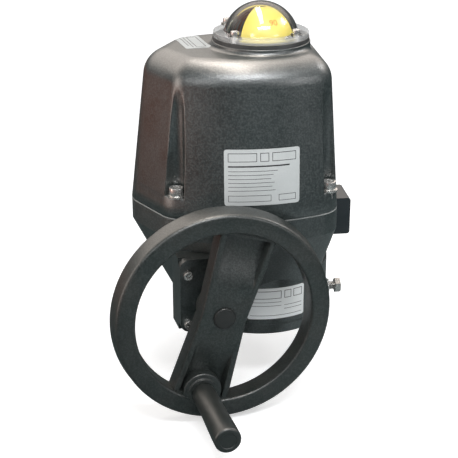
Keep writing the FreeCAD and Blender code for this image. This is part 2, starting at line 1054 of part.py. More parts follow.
window_gasket = cut(
    "window_gasket_ring",
    ring(
        "window_gasket_plain",
        dim.window_flange + 0.5,
        dim.window_bore,
        dim.window_gasket,
        (0, 0, gasket_low),
    ),
    [*window_holes],
)
piece("dome_gasket", window_gasket)
piece("dome_screws", group("window_screw_group", window_screws))
piece("cover", cut("cover_drilled", cover_casting, [*window_holes]))

# Position indicator on its shaft

sector_radius = dim.window_ball - dim.window_wall - dim.indicator_gap
hub_radius = sector_radius - dim.sector_thickness
shell_radius = hub_radius - dim.indicator_shell
hub_floor = dim.indicator_low + dim.indicator_shell + 1
shaft_top = dim.indicator_low + 9
shaft_low = dim.drive_top - 8


def dome_solid(name, radius, low):
    """A solid drum closed by a half ball."""
    drum = cylinder(name + "_drum", radius, ball_height - low, (0, 0, low))
    return join(name, [drum, ball(name + "_ball", radius, ball_height, 0)])


sector_reach = sector_radius * 2
open_x = sector_reach * dim.sector_half_angle.sine()
open_y = sector_reach * dim.sector_half_angle.cosine()
sector_wedges = join(
    "sector_wedges",
    [
        extruded(
            "front_wedge",
            [(0, 0), (-open_x, -open_y), (0, -sector_reach), (open_x, -open_y)],
            dim.window_ball,
            (0, 0, ball_height),
        ),
        extruded(
            "back_wedge",
            [(0, 0), (open_x, open_y), (0, sector_reach), (-open_x, open_y)],
            dim.window_ball,
            (0, 0, ball_height),
        ),
    ],
)
indicator_ball = ball("indicator_ball", hub_radius, ball_height)
sector_skin = cut(
    "sector_skin",
    ball("sector_ball", sector_radius, ball_height),
    [
        indicator_ball,
        cylinder("pole_gap", dim.pole_radius, sector_reach, (0, 0, ball_height)),
    ],
)
sectors = overlap("sector_pair", [sector_skin, sector_wedges])
sector_set = turned_about_axis(group("sector_set", [sectors]), dim.sector_turn)
piece("indicator_sectors", sector_set)
fin_bars = []
for number in range(FIN_COUNT):
    blade = box(
        tag("fin_blade", number),
        (sector_radius * 2, 1.4, dim.window_ball),
        (-sector_radius, -0.7, ball_height),
    )
    fin_turn = dim.sector_turn + dim.fin_pitch * (number - FIN_COUNT // 2)
    fin_bars.append(turned_about_axis(group(tag("fin", number), [blade]), fin_turn))
fins = cut(
    "indicator_fins",
    overlap(
        "fin_trim",
        [
            join("fin_blades", fin_bars),
            ball("fin_ball", sector_radius - 0.2, ball_height),
        ],
    ),
    [
        ball("fin_inside", hub_radius - 0.5, ball_height),
        cylinder("fin_pole_gap", dim.pole_radius * 1.7, sector_reach, (0, 0, ball_height)),
    ],
)
hub_skin = cut(
    "hub_skin",
    dome_solid("hub_outside", hub_radius, dim.indicator_low),
    [dome_solid("hub_hollow", shell_radius, hub_floor)],
)
hub_boss = cylinder("hub_boss", dim.cam_shaft_radius * 1.8, 12, (0, 0, dim.indicator_low))
indicator = cut(
    "indicator_body",
    join("indicator_blank", [hub_skin, hub_boss, fins]),
    [
        cylinder(
            "indicator_bore",
            dim.cam_shaft_radius,
            shaft_top - dim.indicator_low,
            (0, 0, dim.indicator_low),
        )
    ],
)
piece("indicator_hub", indicator)
shaft = cylinder("shaft_rod", dim.cam_shaft_radius, shaft_top - shaft_low, (0, 0, shaft_low))
piece("indicator_shaft", shaft)
cams = []
for number in range(4):
    cam_at = dim.cam_start + dim.cam_pitch * number
    disc = ring(
        tag("cam_disc", number),
        dim.cam_radius,
        dim.cam_shaft_radius,
        dim.cam_thickness,
        (0, 0, cam_at),
    )
    notch = box(
        tag("cam_notch_block", number),
        (dim.cam_radius, dim.cam_radius, dim.cam_thickness),
        (dim.cam_radius * 0.75, -dim.cam_radius / 2, cam_at),
    )
    notch_set = group(tag("cam_notch", number), [notch])
    notch_turn = turned_about_axis(notch_set, as_size(40 + 75 * number))
    cams.append(cut(tag("cam", number), disc, [notch_turn]))
piece("limit_cams", group("cam_group", cams))

# Output drive with its bushes, seal, stop cam and worm wheel

star = join(
    "socket_star",
    [
        turned_about_axis(
            group(
                tag("socket_turn", number),
                [
                    box(
                        tag("socket_square", number),
                        (dim.drive_square, dim.drive_square, dim.drive_depth),
                        (-dim.drive_square / 2, -dim.drive_square / 2, dim.drive_foot),
                    )
                ],
            ),
            as_size(angle),
        )
        for number, angle in enumerate((0, 45))
    ],
)
cam_low = dim.stop_height - dim.stop_plate / 2
key = box(
    "wheel_key",
    (dim.key_size, dim.key_size, dim.wheel_width),
    (dim.drive_radius - dim.key_size / 2, -dim.key_size / 2, wheel_low),
)
drive = cut(
    "drive_body",
    join(
        "drive_blank",
        [
            cylinder(
                "drive_journal",
                dim.drive_radius,
                dim.drive_top - dim.drive_foot,
                (0, 0, dim.drive_foot),
            ),
            cylinder(
                "drive_collar",
                dim.drive_flange,
                cam_low - dim.drive_flange_low,
                (0, 0, dim.drive_flange_low),
            ),
        ],
    ),
    [star, key, cylinder("drive_top_bore", dim.cam_shaft_radius, 8, (0, 0, shaft_low))],
)
piece("output_drive", drive)
piece("drive_key", group("key_bar", [key]))
stop_plate = extruded(
    "stop_arm",
    rectangle(-dim.stop_arm_reach, -dim.stop_arm_width / 2, 0, dim.stop_arm_width / 2),
    dim.stop_plate,
    (0, 0, cam_low),
)
stop_cam = cut(
    "stop_cam_body",
    join(
        "stop_cam_blank",
        [
            cylinder("stop_disc", dim.drive_flange, dim.stop_plate, (0, 0, cam_low)),
            cylinder("stop_spacer", dim.drive_flange - 2, wheel_low - cam_low, (0, 0, cam_low)),
            stop_plate,
        ],
    ),
    [cylinder("stop_cam_bore", dim.drive_radius, wheel_low - cam_low, (0, 0, cam_low))],
)
piece("stop_cam", stop_cam)
bush_low = dim.seal_height
bush_bore = dim.drive_radius + dim.running_gap
bush_radius = dim.drive_radius + dim.bush_wall
piece(
    "lower_bush",
    ring(
        "lower_bush_ring",
        bush_radius,
        bush_bore,
        dim.floor_thickness - bush_low,
        (0, 0, bush_low),
    ),
)
piece(
    "output_seal",
    ring("output_seal_ring", bush_radius, bush_bore, dim.seal_height - 0.5, (0, 0, 0.5)),
)
piece(
    "upper_bush",
    ring(
        "upper_bush_ring",
        bush_radius,
        bush_bore,
        dim.bearing_plate_thickness,
        (0, 0, dim.bearing_step),
    ),
)
worm_side = worm_line(
    group("worm_side", [box("worm_side_block", (92, 160, 30), (-60, -80, 0))])
)
bearing_disc = cylinder(
    "bearing_disc",
    dim.neck_radius - dim.base_wall + 1,
    dim.bearing_plate_thickness,
    (0, 0, dim.bearing_step),
)
bearing_plate_bore = cylinder(
    "bearing_plate_bore", bush_radius, dim.bearing_plate_thickness, (0, 0, dim.bearing_step)
)
piece("bearing_plate", cut("bearing_plate_body", bearing_disc, [worm_side, bearing_plate_bore]))

# Worm wheel: slanted gaps cut around a disc

lead_slope = dim.gear_module / (worm_radius * 2)
slant = dim.wheel_width / 2 * lead_slope
worm_pitch = dim.gear_module * math.pi
wheel_tip = worm_wheel_radius + dim.gear_module * 0.64
gap_floor = worm_wheel_radius - dim.gear_module * 0.64


def round_pattern(body, name, feature, count):
    """Repeats a body's last feature around its Z axis."""
    pattern = body.newObject("PartDesign::PolarPattern", name)
    pattern.Originals = [feature]
    pattern.Axis = (next(f for f in body.Origin.OriginFeatures if f.Role == "Z_Axis"), [""])
    pattern.Angle = 360
    bind(pattern, "Occurrences", count)
    body.Tip = pattern
    return pattern


def disc_body(name, radius, width):
    body = doc.addObject("PartDesign::Body", name)
    disc = body.newObject("PartDesign::AdditiveCylinder", name + "_disc")
    bind(disc, "Radius", radius)
    bind(disc, "Height", width)
    return body


def gap_outline(shift):
    floor_half, mouth_half = dim.gear_module * 0.66, dim.gear_module * 1.28
    mouth = wheel_tip + 1
    return [
        (gap_floor, shift - floor_half),
        (mouth, shift - mouth_half),
        (mouth, shift + mouth_half),
        (gap_floor, shift + floor_half),
    ]


worm_wheel = disc_body("worm_wheel_blank", wheel_tip, dim.wheel_width)
gap = worm_wheel.newObject("PartDesign::SubtractiveLoft", "wheel_gap")
gap_low = draw(sketch_in(worm_wheel, "gap_low", "XY_Plane"), gap_outline(slant))
gap_high = draw(sketch_in(worm_wheel, "gap_high", "XY_Plane", dim.wheel_width), gap_outline(-slant))
gap.Profile = (gap_low, [""])
gap.Sections = [(gap_high, [""])]
gap.Ruled = True
round_pattern(worm_wheel, "wheel_gaps", gap, dim.wheel_teeth)
place(worm_wheel, (0, 0, wheel_low))
bind(worm_wheel, "Placement.Rotation.Angle", dim.wheel_skew)
wheel_cuts = [
    cylinder("wheel_bore", dim.drive_radius, dim.wheel_width, (0, 0, wheel_low)),
    key,
]
piece("worm_wheel", cut("worm_wheel_body", worm_wheel, wheel_cuts))

# Stop screws and their lock nuts


def stop_screw(name, at, axis, end):
    """A hexagon head screw; its tip is at the point, its head past the end."""
    spots = {"x": (end, at[1], at[2]), "y": (at[0], end, at[2])}
    starts = {"x": dim.stop_tip, "y": dim.stop_tip}
    shank = cylinder(name + "_shank", dim.stop_screw_radius, end - starts[axis], at, axis)
    head = hexagon(
        name + "_head", dim.stop_head_flats, dim.stop_head_thickness, spots[axis], axis
    )
    return join(name, [shank, head])


def lock_nut(name, at, axis):
    blank = hexagon(name + "_blank", dim.stop_head_flats, dim.stop_nut_thickness, at, axis)
    hole = cylinder(name + "_hole", dim.stop_screw_radius, dim.stop_nut_thickness, at, axis)
    return cut(name, blank, [hole])


front_stop = (dim.stop_tip, -dim.stop_offset, dim.stop_height)
back_stop = (-dim.stop_offset, dim.stop_tip, dim.stop_height)
back_end = dim.stop_screw_end + dim.stop_boss_back - dim.stop_boss_front
stop_screws = [
    stop_screw("stop_screw_front", front_stop, "x", dim.stop_screw_end),
    stop_screw("stop_screw_back", back_stop, "y", back_end),
]
piece("stop_screws", group("stop_screw_pair", stop_screws))
nut_front = (dim.stop_boss_front, -dim.stop_offset, dim.stop_height)
nut_back = (-dim.stop_offset, dim.stop_boss_back, dim.stop_height)
stop_nuts = [lock_nut("stop_nut_front", nut_front, "x"), lock_nut("stop_nut_back", nut_back, "y")]
piece("stop_lock_nuts", group("stop_nut_pair", stop_nuts))

# Worm with its shaft, bearings, seal and cover plate

worm_length = worm_pitch * dim.worm_turns
worm_start = -worm_length / 2
shaft_front = dim.wheel_front - dim.web_recess
bearing_end = dim.worm_back_bearing + dim.bearing_width
helix = doc.addObject("Part::Helix", "worm_helix")
helix.LocalCoord = "Left-handed"
bind(helix, "Pitch", worm_pitch)
bind(helix, "Height", worm_length)
bind(helix, "Radius", dim.worm_root)
thread_profile = doc.addObject("Sketcher::SketchObject", "thread_profile")
thread_profile.Placement = FreeCAD.Placement(
    FreeCAD.Vector(), FreeCAD.Rotation(FreeCAD.Vector(1, 0, 0), 90)
)
thread_root = dim.gear_module * 1.06
thread_tip = dim.gear_module * 0.55
draw(
    thread_profile,
    [
        (dim.worm_root - 0.6, -thread_root),
        (dim.worm_outside, -thread_tip),
        (dim.worm_outside, thread_tip),
        (dim.worm_root - 0.6, thread_root),
    ],
)
thread = doc.addObject("Part::Sweep", "worm_thread")
thread.Sections = [thread_profile]
thread.Spine = (helix, [])
thread.Solid = True
thread.Frenet = True
worm_core = cylinder(
    "worm_core", dim.worm_root, worm_length + worm_pitch * 1.5, (0, 0, -worm_pitch * 0.75)
)
worm_thread = place(join("worm_with_thread", [worm_core, thread]), (0, worm_start, 0), "y")
handwheel_key_low = -dim.hub_back - 12
key_at = (-2, handwheel_key_low, dim.worm_shaft_radius - 2)
handwheel_key = box("handwheel_key_bar", (4, 12, 4), key_at)
worm_shaft = cylinder(
    "worm_shaft_rod",
    dim.worm_shaft_radius,
    shaft_front + bearing_end,
    (0, -shaft_front, 0),
    "y",
)
worm_shaft_cut = cut(
    "worm_shaft_body", join("worm_shaft_blank", [worm_shaft, worm_thread]), [handwheel_key]
)
piece("worm_shaft", worm_line(worm_shaft_cut))
piece("handwheel_key", worm_line(group("handwheel_key_set", [handwheel_key])))
bearings = [
    ring(
        name,
        dim.worm_tube_bore,
        dim.worm_shaft_radius,
        dim.bearing_width,
        (0, start, 0),
        "y",
    )
    for name, start in (
        ("bearing_front", -dim.worm_front_bearing),
        ("bearing_back", dim.worm_back_bearing),
    )
]
piece("worm_bearings", worm_line(group("bearing_pair", bearings)))


plate_holes = []
plate_screws = []
for number, (across, up) in enumerate(plate_spots()):
    hole_radius = dim.plate_screw_radius + 0.2
    hole_at = (across, up, 0)
    plate_holes.append(
        cylinder(tag("plate_hole", number), hole_radius, dim.plate_thickness, hole_at)
    )
    plate_screws.append(
        cap_screw(
            tag("plate_screw", number),
            dim.plate_screw_radius,
            dim.plate_screw_head,
            dim.plate_thickness + 10,
            (across, up, dim.plate_thickness),
        )
    )
seal_width = dim.plate_thickness - 2
plate = cut(
    "plate_body",
    extruded("plate_blank", plate_outline, dim.plate_thickness),
    [
        cylinder("plate_shaft_hole", dim.worm_shaft_radius + 1, dim.plate_thickness),
        cylinder("plate_seal_hole", dim.worm_tube_bore, seal_width, (0, 0, 2)),
        *plate_holes,
    ],
)
plate_at = (0, -dim.gearbox_face, 0)
piece("worm_cover_plate", worm_line(group("plate_set", [place(plate, plate_at, "-y")])))
plate_screw_set = place(group("plate_screw_set", plate_screws), plate_at, "-y")
piece("plate_screws", worm_line(group("plate_screw_group", [plate_screw_set])))
seal = ring(
    "shaft_seal_ring",
    dim.worm_tube_bore,
    dim.worm_shaft_radius + dim.running_gap,
    seal_width - 0.5,
    (0, 0, 2),
)
piece("shaft_seal", worm_line(group("seal_set", [place(seal, plate_at, "-y")])))

# Handwheel: rim, channel bar, hub and crank boss, drawn with +Z towards the user

edge = dim.rim_round
rim = turned(
    "wheel_rim",
    [
        (dim.rim_inner + edge, 0),
        (dim.rim_radius - edge, 0, edge),
        (dim.rim_radius, edge),
        (dim.rim_front_radius, dim.rim_depth - edge, edge),
        (dim.rim_front_radius - edge, dim.rim_depth),
        (dim.rim_inner + edge, dim.rim_depth, edge),
        (dim.rim_inner, dim.rim_depth - edge),
        (dim.rim_inner, edge, edge),
    ],
)
bar_reach = dim.rim_inner + 2
web_front = dim.rim_depth - dim.web_recess
web_back = web_front - dim.web_thickness
bar_front = dim.rim_depth - dim.bar_recess


def bar_outline(inset, reach):
    end, waist = dim.bar_half - inset, dim.bar_waist - inset
    return [
        (-end, -reach),
        (end, -reach),
        (waist, 0),
        (end, reach),
        (-end, reach),
        (-waist, 0),
    ]


bar = extruded("bar_blank", bar_outline(0, bar_reach), bar_front - web_back, (0, 0, web_back))


def end_trough(name, way):
    """One trough of the bar, whose floor climbs to the front on its way to the hub."""

    def outline(near, far, inset):
        half_near, half_far = (
            dim.bar_waist + (dim.bar_half - dim.bar_waist) * along / bar_reach - inset
            for along in (near, far)
        )
        corners = [(-half_near, near), (half_near, near), (half_far, far), (-half_far, far)]
        return [(across * way, along * way) for across, along in corners]

    far_end = bar_reach - 6
    floor = outline(dim.trough_start + dim.trough_ramp, far_end - 1, dim.bar_flange + 1)
    mouth = outline(dim.trough_start, far_end, dim.bar_flange)
    return lofted(name, floor, web_front, mouth, bar_front)


bar_troughs = [end_trough("trough_near_rim", 1), end_trough("trough_at_crank", -1)]
boss_front = dim.rim_depth + dim.crank_boss_rise
crank_boss = cylinder(
    "crank_boss", dim.crank_boss_radius, boss_front - web_back, (0, -dim.crank_circle, web_back)
)
hub_start = dim.wheel_front - dim.rim_depth - dim.hub_back
hub = cylinder("wheel_hub", dim.hub_radius, web_front + hub_start, (0, 0, -hub_start))
channel = cut("bar_channel", bar, bar_troughs)
bar_trim = cylinder(
    "bar_trim", dim.rim_inner + 1, bar_front - web_back, (0, 0, web_back)
)
bar_set = turned_about_axis(
    cut(
        "bar_set",
        join("bar_with_boss", [overlap("bar_in_rim", [channel, bar_trim]), crank_boss]),
        [
            cylinder(
                "spindle_hole",
                dim.spindle_radius,
                boss_front - web_back,
                (0, -dim.crank_circle, web_back),
            )
        ],
    ),
    -dim.bar_angle,
)
wheel_blank = join("wheel_blank", [rim, bar_set, hub])
wheel_at = (0, -dim.wheel_front + dim.rim_depth, 0)
wheel_body = place(wheel_blank, wheel_at, "-y")
wheel_bore = cylinder(
    "wheel_hub_bore", dim.worm_shaft_radius, shaft_front - dim.hub_back, (0, -shaft_front, 0), "y"
)
access_radius = dim.cap_radius - 2.5
cap_stem = access_radius - 0.1
access_depth = bar_front - web_front
cap_hole = cylinder(
    "wheel_cap_hole", access_radius, access_depth, (0, -shaft_front - access_depth, 0), "y"
)
wheel_cuts = [wheel_bore, cap_hole, handwheel_key]
piece("handwheel", worm_line(cut("handwheel_body", wheel_body, wheel_cuts)))
cap = turned(
    "hub_cap",
    [
        (0, bar_front - 4),
        (cap_stem, bar_front - 4),
        (cap_stem, bar_front),
        (dim.cap_radius, bar_front),
        (dim.cap_radius, bar_front + dim.cap_thickness - 1),
        (dim.cap_radius - 1, bar_front + dim.cap_thickness),
        (0, bar_front + dim.cap_thickness),
    ],
)
piece("handwheel_cap", worm_line(group("cap_set", [place(cap, wheel_at, "-y")])))

# Crank grip on its spindle

grip_low = boss_front + 2
spindle_end = grip_low + dim.grip_length - 10
spindle = join(
    "spindle_body",
    [
        cylinder(
            "spindle_rod",
            dim.spindle_radius,
            spindle_end - web_back,
            (0, -dim.crank_circle, web_back),
        ),
        cylinder("spindle_collar", dim.spindle_radius + 3, 2, (0, -dim.crank_circle, boss_front)),
    ],
)
grip_bore = dim.spindle_radius + 0.15
grip = turned(
    "grip_body",
    [
        (grip_bore, grip_low),
        (dim.grip_radius - 1, grip_low),
        (dim.grip_radius, grip_low + 1),
        (dim.grip_radius, grip_low + 5),
        (dim.grip_waist + 0.5, grip_low + dim.grip_length * 0.3),
        (dim.grip_waist, grip_low + dim.grip_length * 0.45),
        (dim.grip_waist + 0.5, grip_low + dim.grip_length * 0.6),
        (dim.grip_radius, grip_low + dim.grip_length - 9, 6),
        (dim.grip_radius - 2, grip_low + dim.grip_length - 1),
        (dim.grip_radius - 3, grip_low + dim.grip_length),
        (0, grip_low + dim.grip_length),
        (0, spindle_end + 1),
        (grip_bore, spindle_end + 1),
    ],
    (0, -dim.crank_circle, 0),
)
for label, thing in (("crank_spindle", spindle), ("crank_grip", grip)):
    turned_set = turned_about_axis(group(label + "_turn", [thing]), -dim.bar_angle)
    facing = place(group(label + "_facing", [turned_set]), wheel_at, "-y")
    piece(label, worm_line(group(label + "_set", [facing])))

# Motor and gear train behind the worm

train_end = gear_start + dim.train_width


def gear(name, teeth, width, bore, half_step):
    """A spur gear about Z with a tooth, or after half a step a gap, along +X."""
    radius = dim.train_module * teeth / 2
    floor = radius - dim.train_module * 1.2
    spin = as_size(180) / teeth * half_step
    body = disc_body(name + "_blank", floor, width)
    corners = []
    for out, side in (
        (floor - 0.3, -1.02),
        (radius + dim.train_module * 0.85, -0.45),
        (radius + dim.train_module * 0.85, 0.45),
        (floor - 0.3, 1.02),
    ):
        side = dim.train_module * side
        corners.append(
            (out * spin.cosine() - side * spin.sine(), out * spin.sine() + side * spin.cosine())
        )
    tooth = body.newObject("PartDesign::Pad", name + "_tooth")
    tooth.Profile = (draw(sketch_in(body, name + "_tooth_plan", "XY_Plane"), corners), [""])
    bind(tooth, "Length", width)
    round_pattern(body, name + "_teeth", tooth, teeth)
    return cut(name + "_bored", body, [cylinder(name + "_bore", bore, width)])


idler_height = dim.train_module * (dim.worm_gear_teeth + dim.idler_teeth) / 2
motor_height = idler_height + dim.train_module * (dim.idler_teeth + dim.pinion_teeth) / 2
worm_gear = gear("worm_gear", dim.worm_gear_teeth, dim.train_width, dim.worm_shaft_radius, 0)
piece("worm_gear", worm_line(group("worm_gear_set", [place(worm_gear, (0, gear_start, 0), "y")])))
idler = gear("idler_gear", dim.idler_teeth, dim.train_width, 3.0, 1)
idler_at = (0, gear_start, idler_height)
piece("idler_gear", worm_line(group("idler_set", [place(idler, idler_at, "y")])))
pinion = gear("pinion", dim.pinion_teeth, dim.train_width, dim.motor_shaft_radius, 0)
pinion_at = (0, gear_start, motor_height)
motor_back = dim.train_start
rotor = join(
    "rotor_body",
    [
        place(pinion, pinion_at, "y"),
        cylinder(
            "motor_shaft",
            dim.motor_shaft_radius,
            train_end - motor_back + 15,
            (0, motor_back - 15, motor_height),
            "y",
        ),
    ],
)
piece("motor_pinion", worm_line(group("rotor_set", [rotor])))
idler_pin = cylinder(
    "idler_pin_rod",
    3.0 - dim.running_gap,
    train_end + 2 - motor_back,
    (0, motor_back, idler_height),
    "y",
)
piece("idler_pin", worm_line(group("idler_pin_set", [idler_pin])))
gear_plate_blank = box(
    "gear_plate_blank",
    (dim.gear_plate_half * 2, dim.gear_plate_thickness, dim.gear_plate_top - 10),
    (-dim.gear_plate_half, motor_back, 10),
)
gear_plate = cut(
    "gear_plate_body",
    gear_plate_blank,
    [
        cylinder(
            "gear_plate_arch",
            dim.worm_tube_radius + 0.2,
            dim.gear_plate_thickness,
            (0, motor_back, 0),
            "y",
        ),
        cylinder(
            "gear_plate_pin_hole",
            3.0 - dim.running_gap,
            dim.gear_plate_thickness,
            (0, motor_back, idler_height),
            "y",
        ),
        cylinder(
            "gear_plate_shaft_hole",
            dim.motor_shaft_radius + 2,
            dim.gear_plate_thickness,
            (0, motor_back, motor_height),
            "y",
        ),
    ],
)
piece("gear_plate", worm_line(group("gear_plate_set", [gear_plate])))
motor_can = join(
    "motor_can",
    [
        cylinder(
            "motor_case",
            dim.motor_radius,
            dim.motor_length,
            (0, motor_back - dim.motor_length, motor_height),
            "y",
        ),
        cylinder(
            "motor_tail",
            dim.motor_radius * 0.4,
            4,
            (0, motor_back - dim.motor_length - 4, motor_height),
            "y",
        ),
    ],
)
motor_hole = cylinder(
    "motor_hole",
    dim.motor_shaft_radius + dim.running_gap,
    16,
    (0, motor_back - 16, motor_height),
    "y",
)
piece("motor_body", worm_line(group("motor_set", [cut("motor_housing", motor_can, [motor_hole])])))

# Chassis inside the cover, with switches, board, terminals and heater

chassis_top = dim.chassis_height + dim.chassis_thickness
chassis_pillars = []
for number, (across, along) in enumerate(
    (x, y * side) for x, y in ((-25, 42), (44, 34)) for side in (-1, 1)
):
    foot_at = (across, along, dim.bearing_step + dim.bearing_plate_thickness)
    pillar_length = dim.chassis_height - dim.bearing_step - dim.bearing_plate_thickness
    chassis_pillars.append(
        hexagon(tag("chassis_pillar", number), dim.pillar_radius * 2, pillar_length, foot_at)
    )
piece("chassis_pillars", group("pillar_group", chassis_pillars))
chassis = cut(
    "chassis_body",
    extruded(
        "chassis_blank",
        round_rectangle(
            -dim.chassis_left, -dim.chassis_half, dim.chassis_right, dim.chassis_half, 6
        ),
        dim.chassis_thickness,
        (0, 0, dim.chassis_height),
    ),
    [
        cylinder(
            "chassis_hole",
            dim.cam_shaft_radius + 3,
            dim.chassis_thickness,
            (0, 0, dim.chassis_height),
        )
    ],
)
piece("chassis_plate", chassis)
switches = []
switch_left = dim.cam_radius + 2
for number in range(4):
    switch_at = dim.cam_start + dim.cam_pitch * number - 0.5
    middle = switch_at + dim.switch_height / 2
    case = box(
        tag("switch_case", number),
        (dim.switch_length, dim.switch_width, dim.switch_height),
        (switch_left, -dim.switch_width / 2, switch_at),
    )
    plunger = cylinder(tag("switch_plunger", number), 1.2, 1.5, (switch_left - 1.5, 0, middle), "x")
    switches.append(join(tag("switch", number), [case, plunger]))
piece("limit_switches", group("switch_group", switches))
bracket_left = switch_left + dim.switch_length
bracket_height = dim.cam_start + dim.cam_pitch * 4 - chassis_top
bracket_width = dim.switch_width + 6
bracket = join(
    "bracket_body",
    [
        box(
            "bracket_web",
            (2, bracket_width, bracket_height),
            (bracket_left, -bracket_width / 2, chassis_top),
        ),
        box(
            "bracket_foot",
            (12, bracket_width, 2),
            (bracket_left, -bracket_width / 2, chassis_top),
        ),
    ],
)
piece("switch_bracket", bracket)
board_front = -dim.chassis_half + 6
board_back = board_front + dim.board_thickness
board = join(
    "board_body",
    [
        box(
            "board_sheet",
            (dim.board_half * 2 - 6, dim.board_thickness, dim.board_height),
            (-dim.chassis_left + 6, board_front, chassis_top),
        ),
        box("board_relay_left", (18, 10, 16), (-20, board_back, chassis_top + 34)),
        box("board_relay_right", (18, 10, 16), (4, board_back, chassis_top + 34)),
        cylinder("board_capacitor", 6, 14, (32, board_back, chassis_top + 42), "y"),
        box("board_plug_strip", (44, 8, 9), (-18, board_back, chassis_top + 6)),
    ],
)
piece("control_board", board)
terminal_front = dim.chassis_half - 18
terminal_at = (-dim.chassis_left + 4, terminal_front, chassis_top)
terminal_holes = []
for number in range(8):
    spot = (-dim.chassis_left + 10 + 9 * number, terminal_front + 6, chassis_top + 12)
    terminal_holes.append(cylinder(tag("terminal_hole", number), 2.4, 6, spot))
terminal = cut(
    "terminal_body", box("terminal_case", (74, 12, 18), terminal_at), terminal_holes
)
piece("terminal_block", terminal)
heater_fins = [
    box(tag("heater_fin", number), (1.5, 14, 14), (-30 + 5 * number, 10, chassis_top))
    for number in range(4)
]
heater_core = box("heater_core", (18, 10, 10), (-30.5, 12, chassis_top))
heater = join("heater_body", [heater_core, *heater_fins])
piece("heater", heater)

# Cable entry box, gland and blanking plug

entry_x = dim.box_right - 14
entry_plug_z = dim.box_low + 10
entry_gland_z = dim.box_high - 11
box_edge = dim.box_round
box_profile = [
    (dim.box_left, -dim.box_high),
    (dim.box_right - box_edge, -dim.box_high, box_edge),
    (dim.box_right, -dim.box_high + box_edge),
    (dim.box_right, -dim.box_low - box_edge, box_edge),
    (dim.box_right - box_edge, -dim.box_low),
    (dim.box_left, -dim.box_low),
]
box_length = dim.box_back - dim.box_front
box_wall = 4.0
gland_bore_at = (entry_x, dim.box_back - box_wall, entry_gland_z)
plug_bore_at = (entry_x, dim.box_back - box_wall, entry_plug_z)
gland_neck_at = (entry_x, dim.box_back + 6, entry_gland_z)
cable_box = cut(
    "cable_box_body",
    extruded("cable_box_blank", box_profile, box_length, (0, dim.box_front, 0), "y"),
    [
        neck,
        taper,
        rim_band,
        box(
            "cable_box_room",
            (
                dim.box_right - box_wall - dim.box_left,
                box_length - box_wall * 2,
                dim.box_high - dim.box_low - box_wall * 2,
            ),
            (dim.box_left, dim.box_front + box_wall, dim.box_low + box_wall),
        ),
        cylinder("gland_bore", dim.entry_radius, box_wall, gland_bore_at, "y"),
        cylinder("plug_bore", dim.entry_radius * 0.75, box_wall, plug_bore_at, "y"),
    ],
)
piece("cable_box", cable_box)
gland = cut(
    "gland_body",
    join(
        "gland_blank",
        [
            cylinder(
                "gland_thread",
                dim.entry_radius,
                box_wall,
                (entry_x, dim.box_back - box_wall, entry_gland_z),
                "y",
            ),
            hexagon("gland_hexagon", 19, 6, (entry_x, dim.box_back, entry_gland_z), "y"),
            cylinder("gland_neck", dim.entry_radius, 2, gland_neck_at, "y"),
            hexagon("gland_nut", 18, 9, (entry_x, dim.box_back + 8, entry_gland_z), "y"),
        ],
    ),
    [
        cylinder(
            "gland_passage",
            dim.entry_bore,
            17 + box_wall,
            (entry_x, dim.box_back - box_wall, entry_gland_z),
            "y",
        )
    ],
)
piece("cable_gland", gland)
plug = join(
    "plug_body",
    [
        cylinder(
            "plug_thread",
            dim.entry_radius * 0.75,
            box_wall,
            (entry_x, dim.box_back - box_wall, entry_plug_z),
            "y",
        ),
        hexagon("plug_head", 15, 5, (entry_x, dim.box_back, entry_plug_z), "y"),
    ],
)
piece("blanking_plug", plug)

# Check every object, then write one file for each piece

doc.recompute()
for thing in doc.Objects:
    if "Invalid" in thing.State or "Error" in thing.State:
        raise RuntimeError(f"{thing.Name} did not build: {thing.State}")
os.makedirs("parts", exist_ok=True)
for label, thing in pieces.items():
    if thing.Shape.isNull() or not thing.Shape.isValid():
        raise RuntimeError(f"{label} has no sound shape")
    thing.Shape.exportStep(f"parts/{label}.step")
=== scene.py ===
"""Looks of a quarter-turn electric valve actuator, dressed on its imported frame.

The output axis is the Z axis and the valve's flange face is at height 0. Sizes are in
millimetres, and a mesh turns to metres when it becomes a piece. The studio is in metres.
"""

import json
import logging
import math
from collections.abc import Callable, Iterable, Sequence
from dataclasses import dataclass, replace
from enum import Enum
from typing import ClassVar

import bmesh
import bpy
import numpy as np
from mathutils import Euler, Matrix, Vector
from mathutils.bvhtree import BVHTree


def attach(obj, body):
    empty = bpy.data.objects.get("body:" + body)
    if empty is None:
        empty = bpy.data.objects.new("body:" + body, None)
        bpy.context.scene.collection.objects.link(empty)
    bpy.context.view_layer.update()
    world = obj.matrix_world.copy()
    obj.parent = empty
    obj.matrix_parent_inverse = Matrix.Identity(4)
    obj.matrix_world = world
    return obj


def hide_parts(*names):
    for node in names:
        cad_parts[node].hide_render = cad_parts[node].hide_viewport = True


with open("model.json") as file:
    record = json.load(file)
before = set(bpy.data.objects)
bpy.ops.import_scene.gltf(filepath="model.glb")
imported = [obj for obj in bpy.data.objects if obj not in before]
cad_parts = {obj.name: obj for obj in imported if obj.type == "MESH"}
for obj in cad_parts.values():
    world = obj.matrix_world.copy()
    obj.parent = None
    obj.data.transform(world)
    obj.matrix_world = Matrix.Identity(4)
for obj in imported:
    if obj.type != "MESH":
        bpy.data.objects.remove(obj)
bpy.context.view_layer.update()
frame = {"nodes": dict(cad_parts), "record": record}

MM = 0.001
UPRIGHT = Matrix.Identity(4)
QUARTER = math.pi / 2
log = logging.getLogger("actuator")

Colour = tuple[float, float, float]
Spot = tuple[float, float]
Point = tuple[float, float, float]
Rule = tuple[float, float, float, float]
Row = tuple[float, float, float, float, float]
Ring = Sequence[Sequence[float]]
Socket = bpy.types.NodeSocket
Aim = Callable[[float, float], tuple[Vector, Vector]]


class Body(Enum):
    """The bodies of the frame that the pieces ride on."""

    HOUSING = "housing"
    OUTPUT = "output"
    WORM_LINE = "worm_line"
    GRIP = "grip"


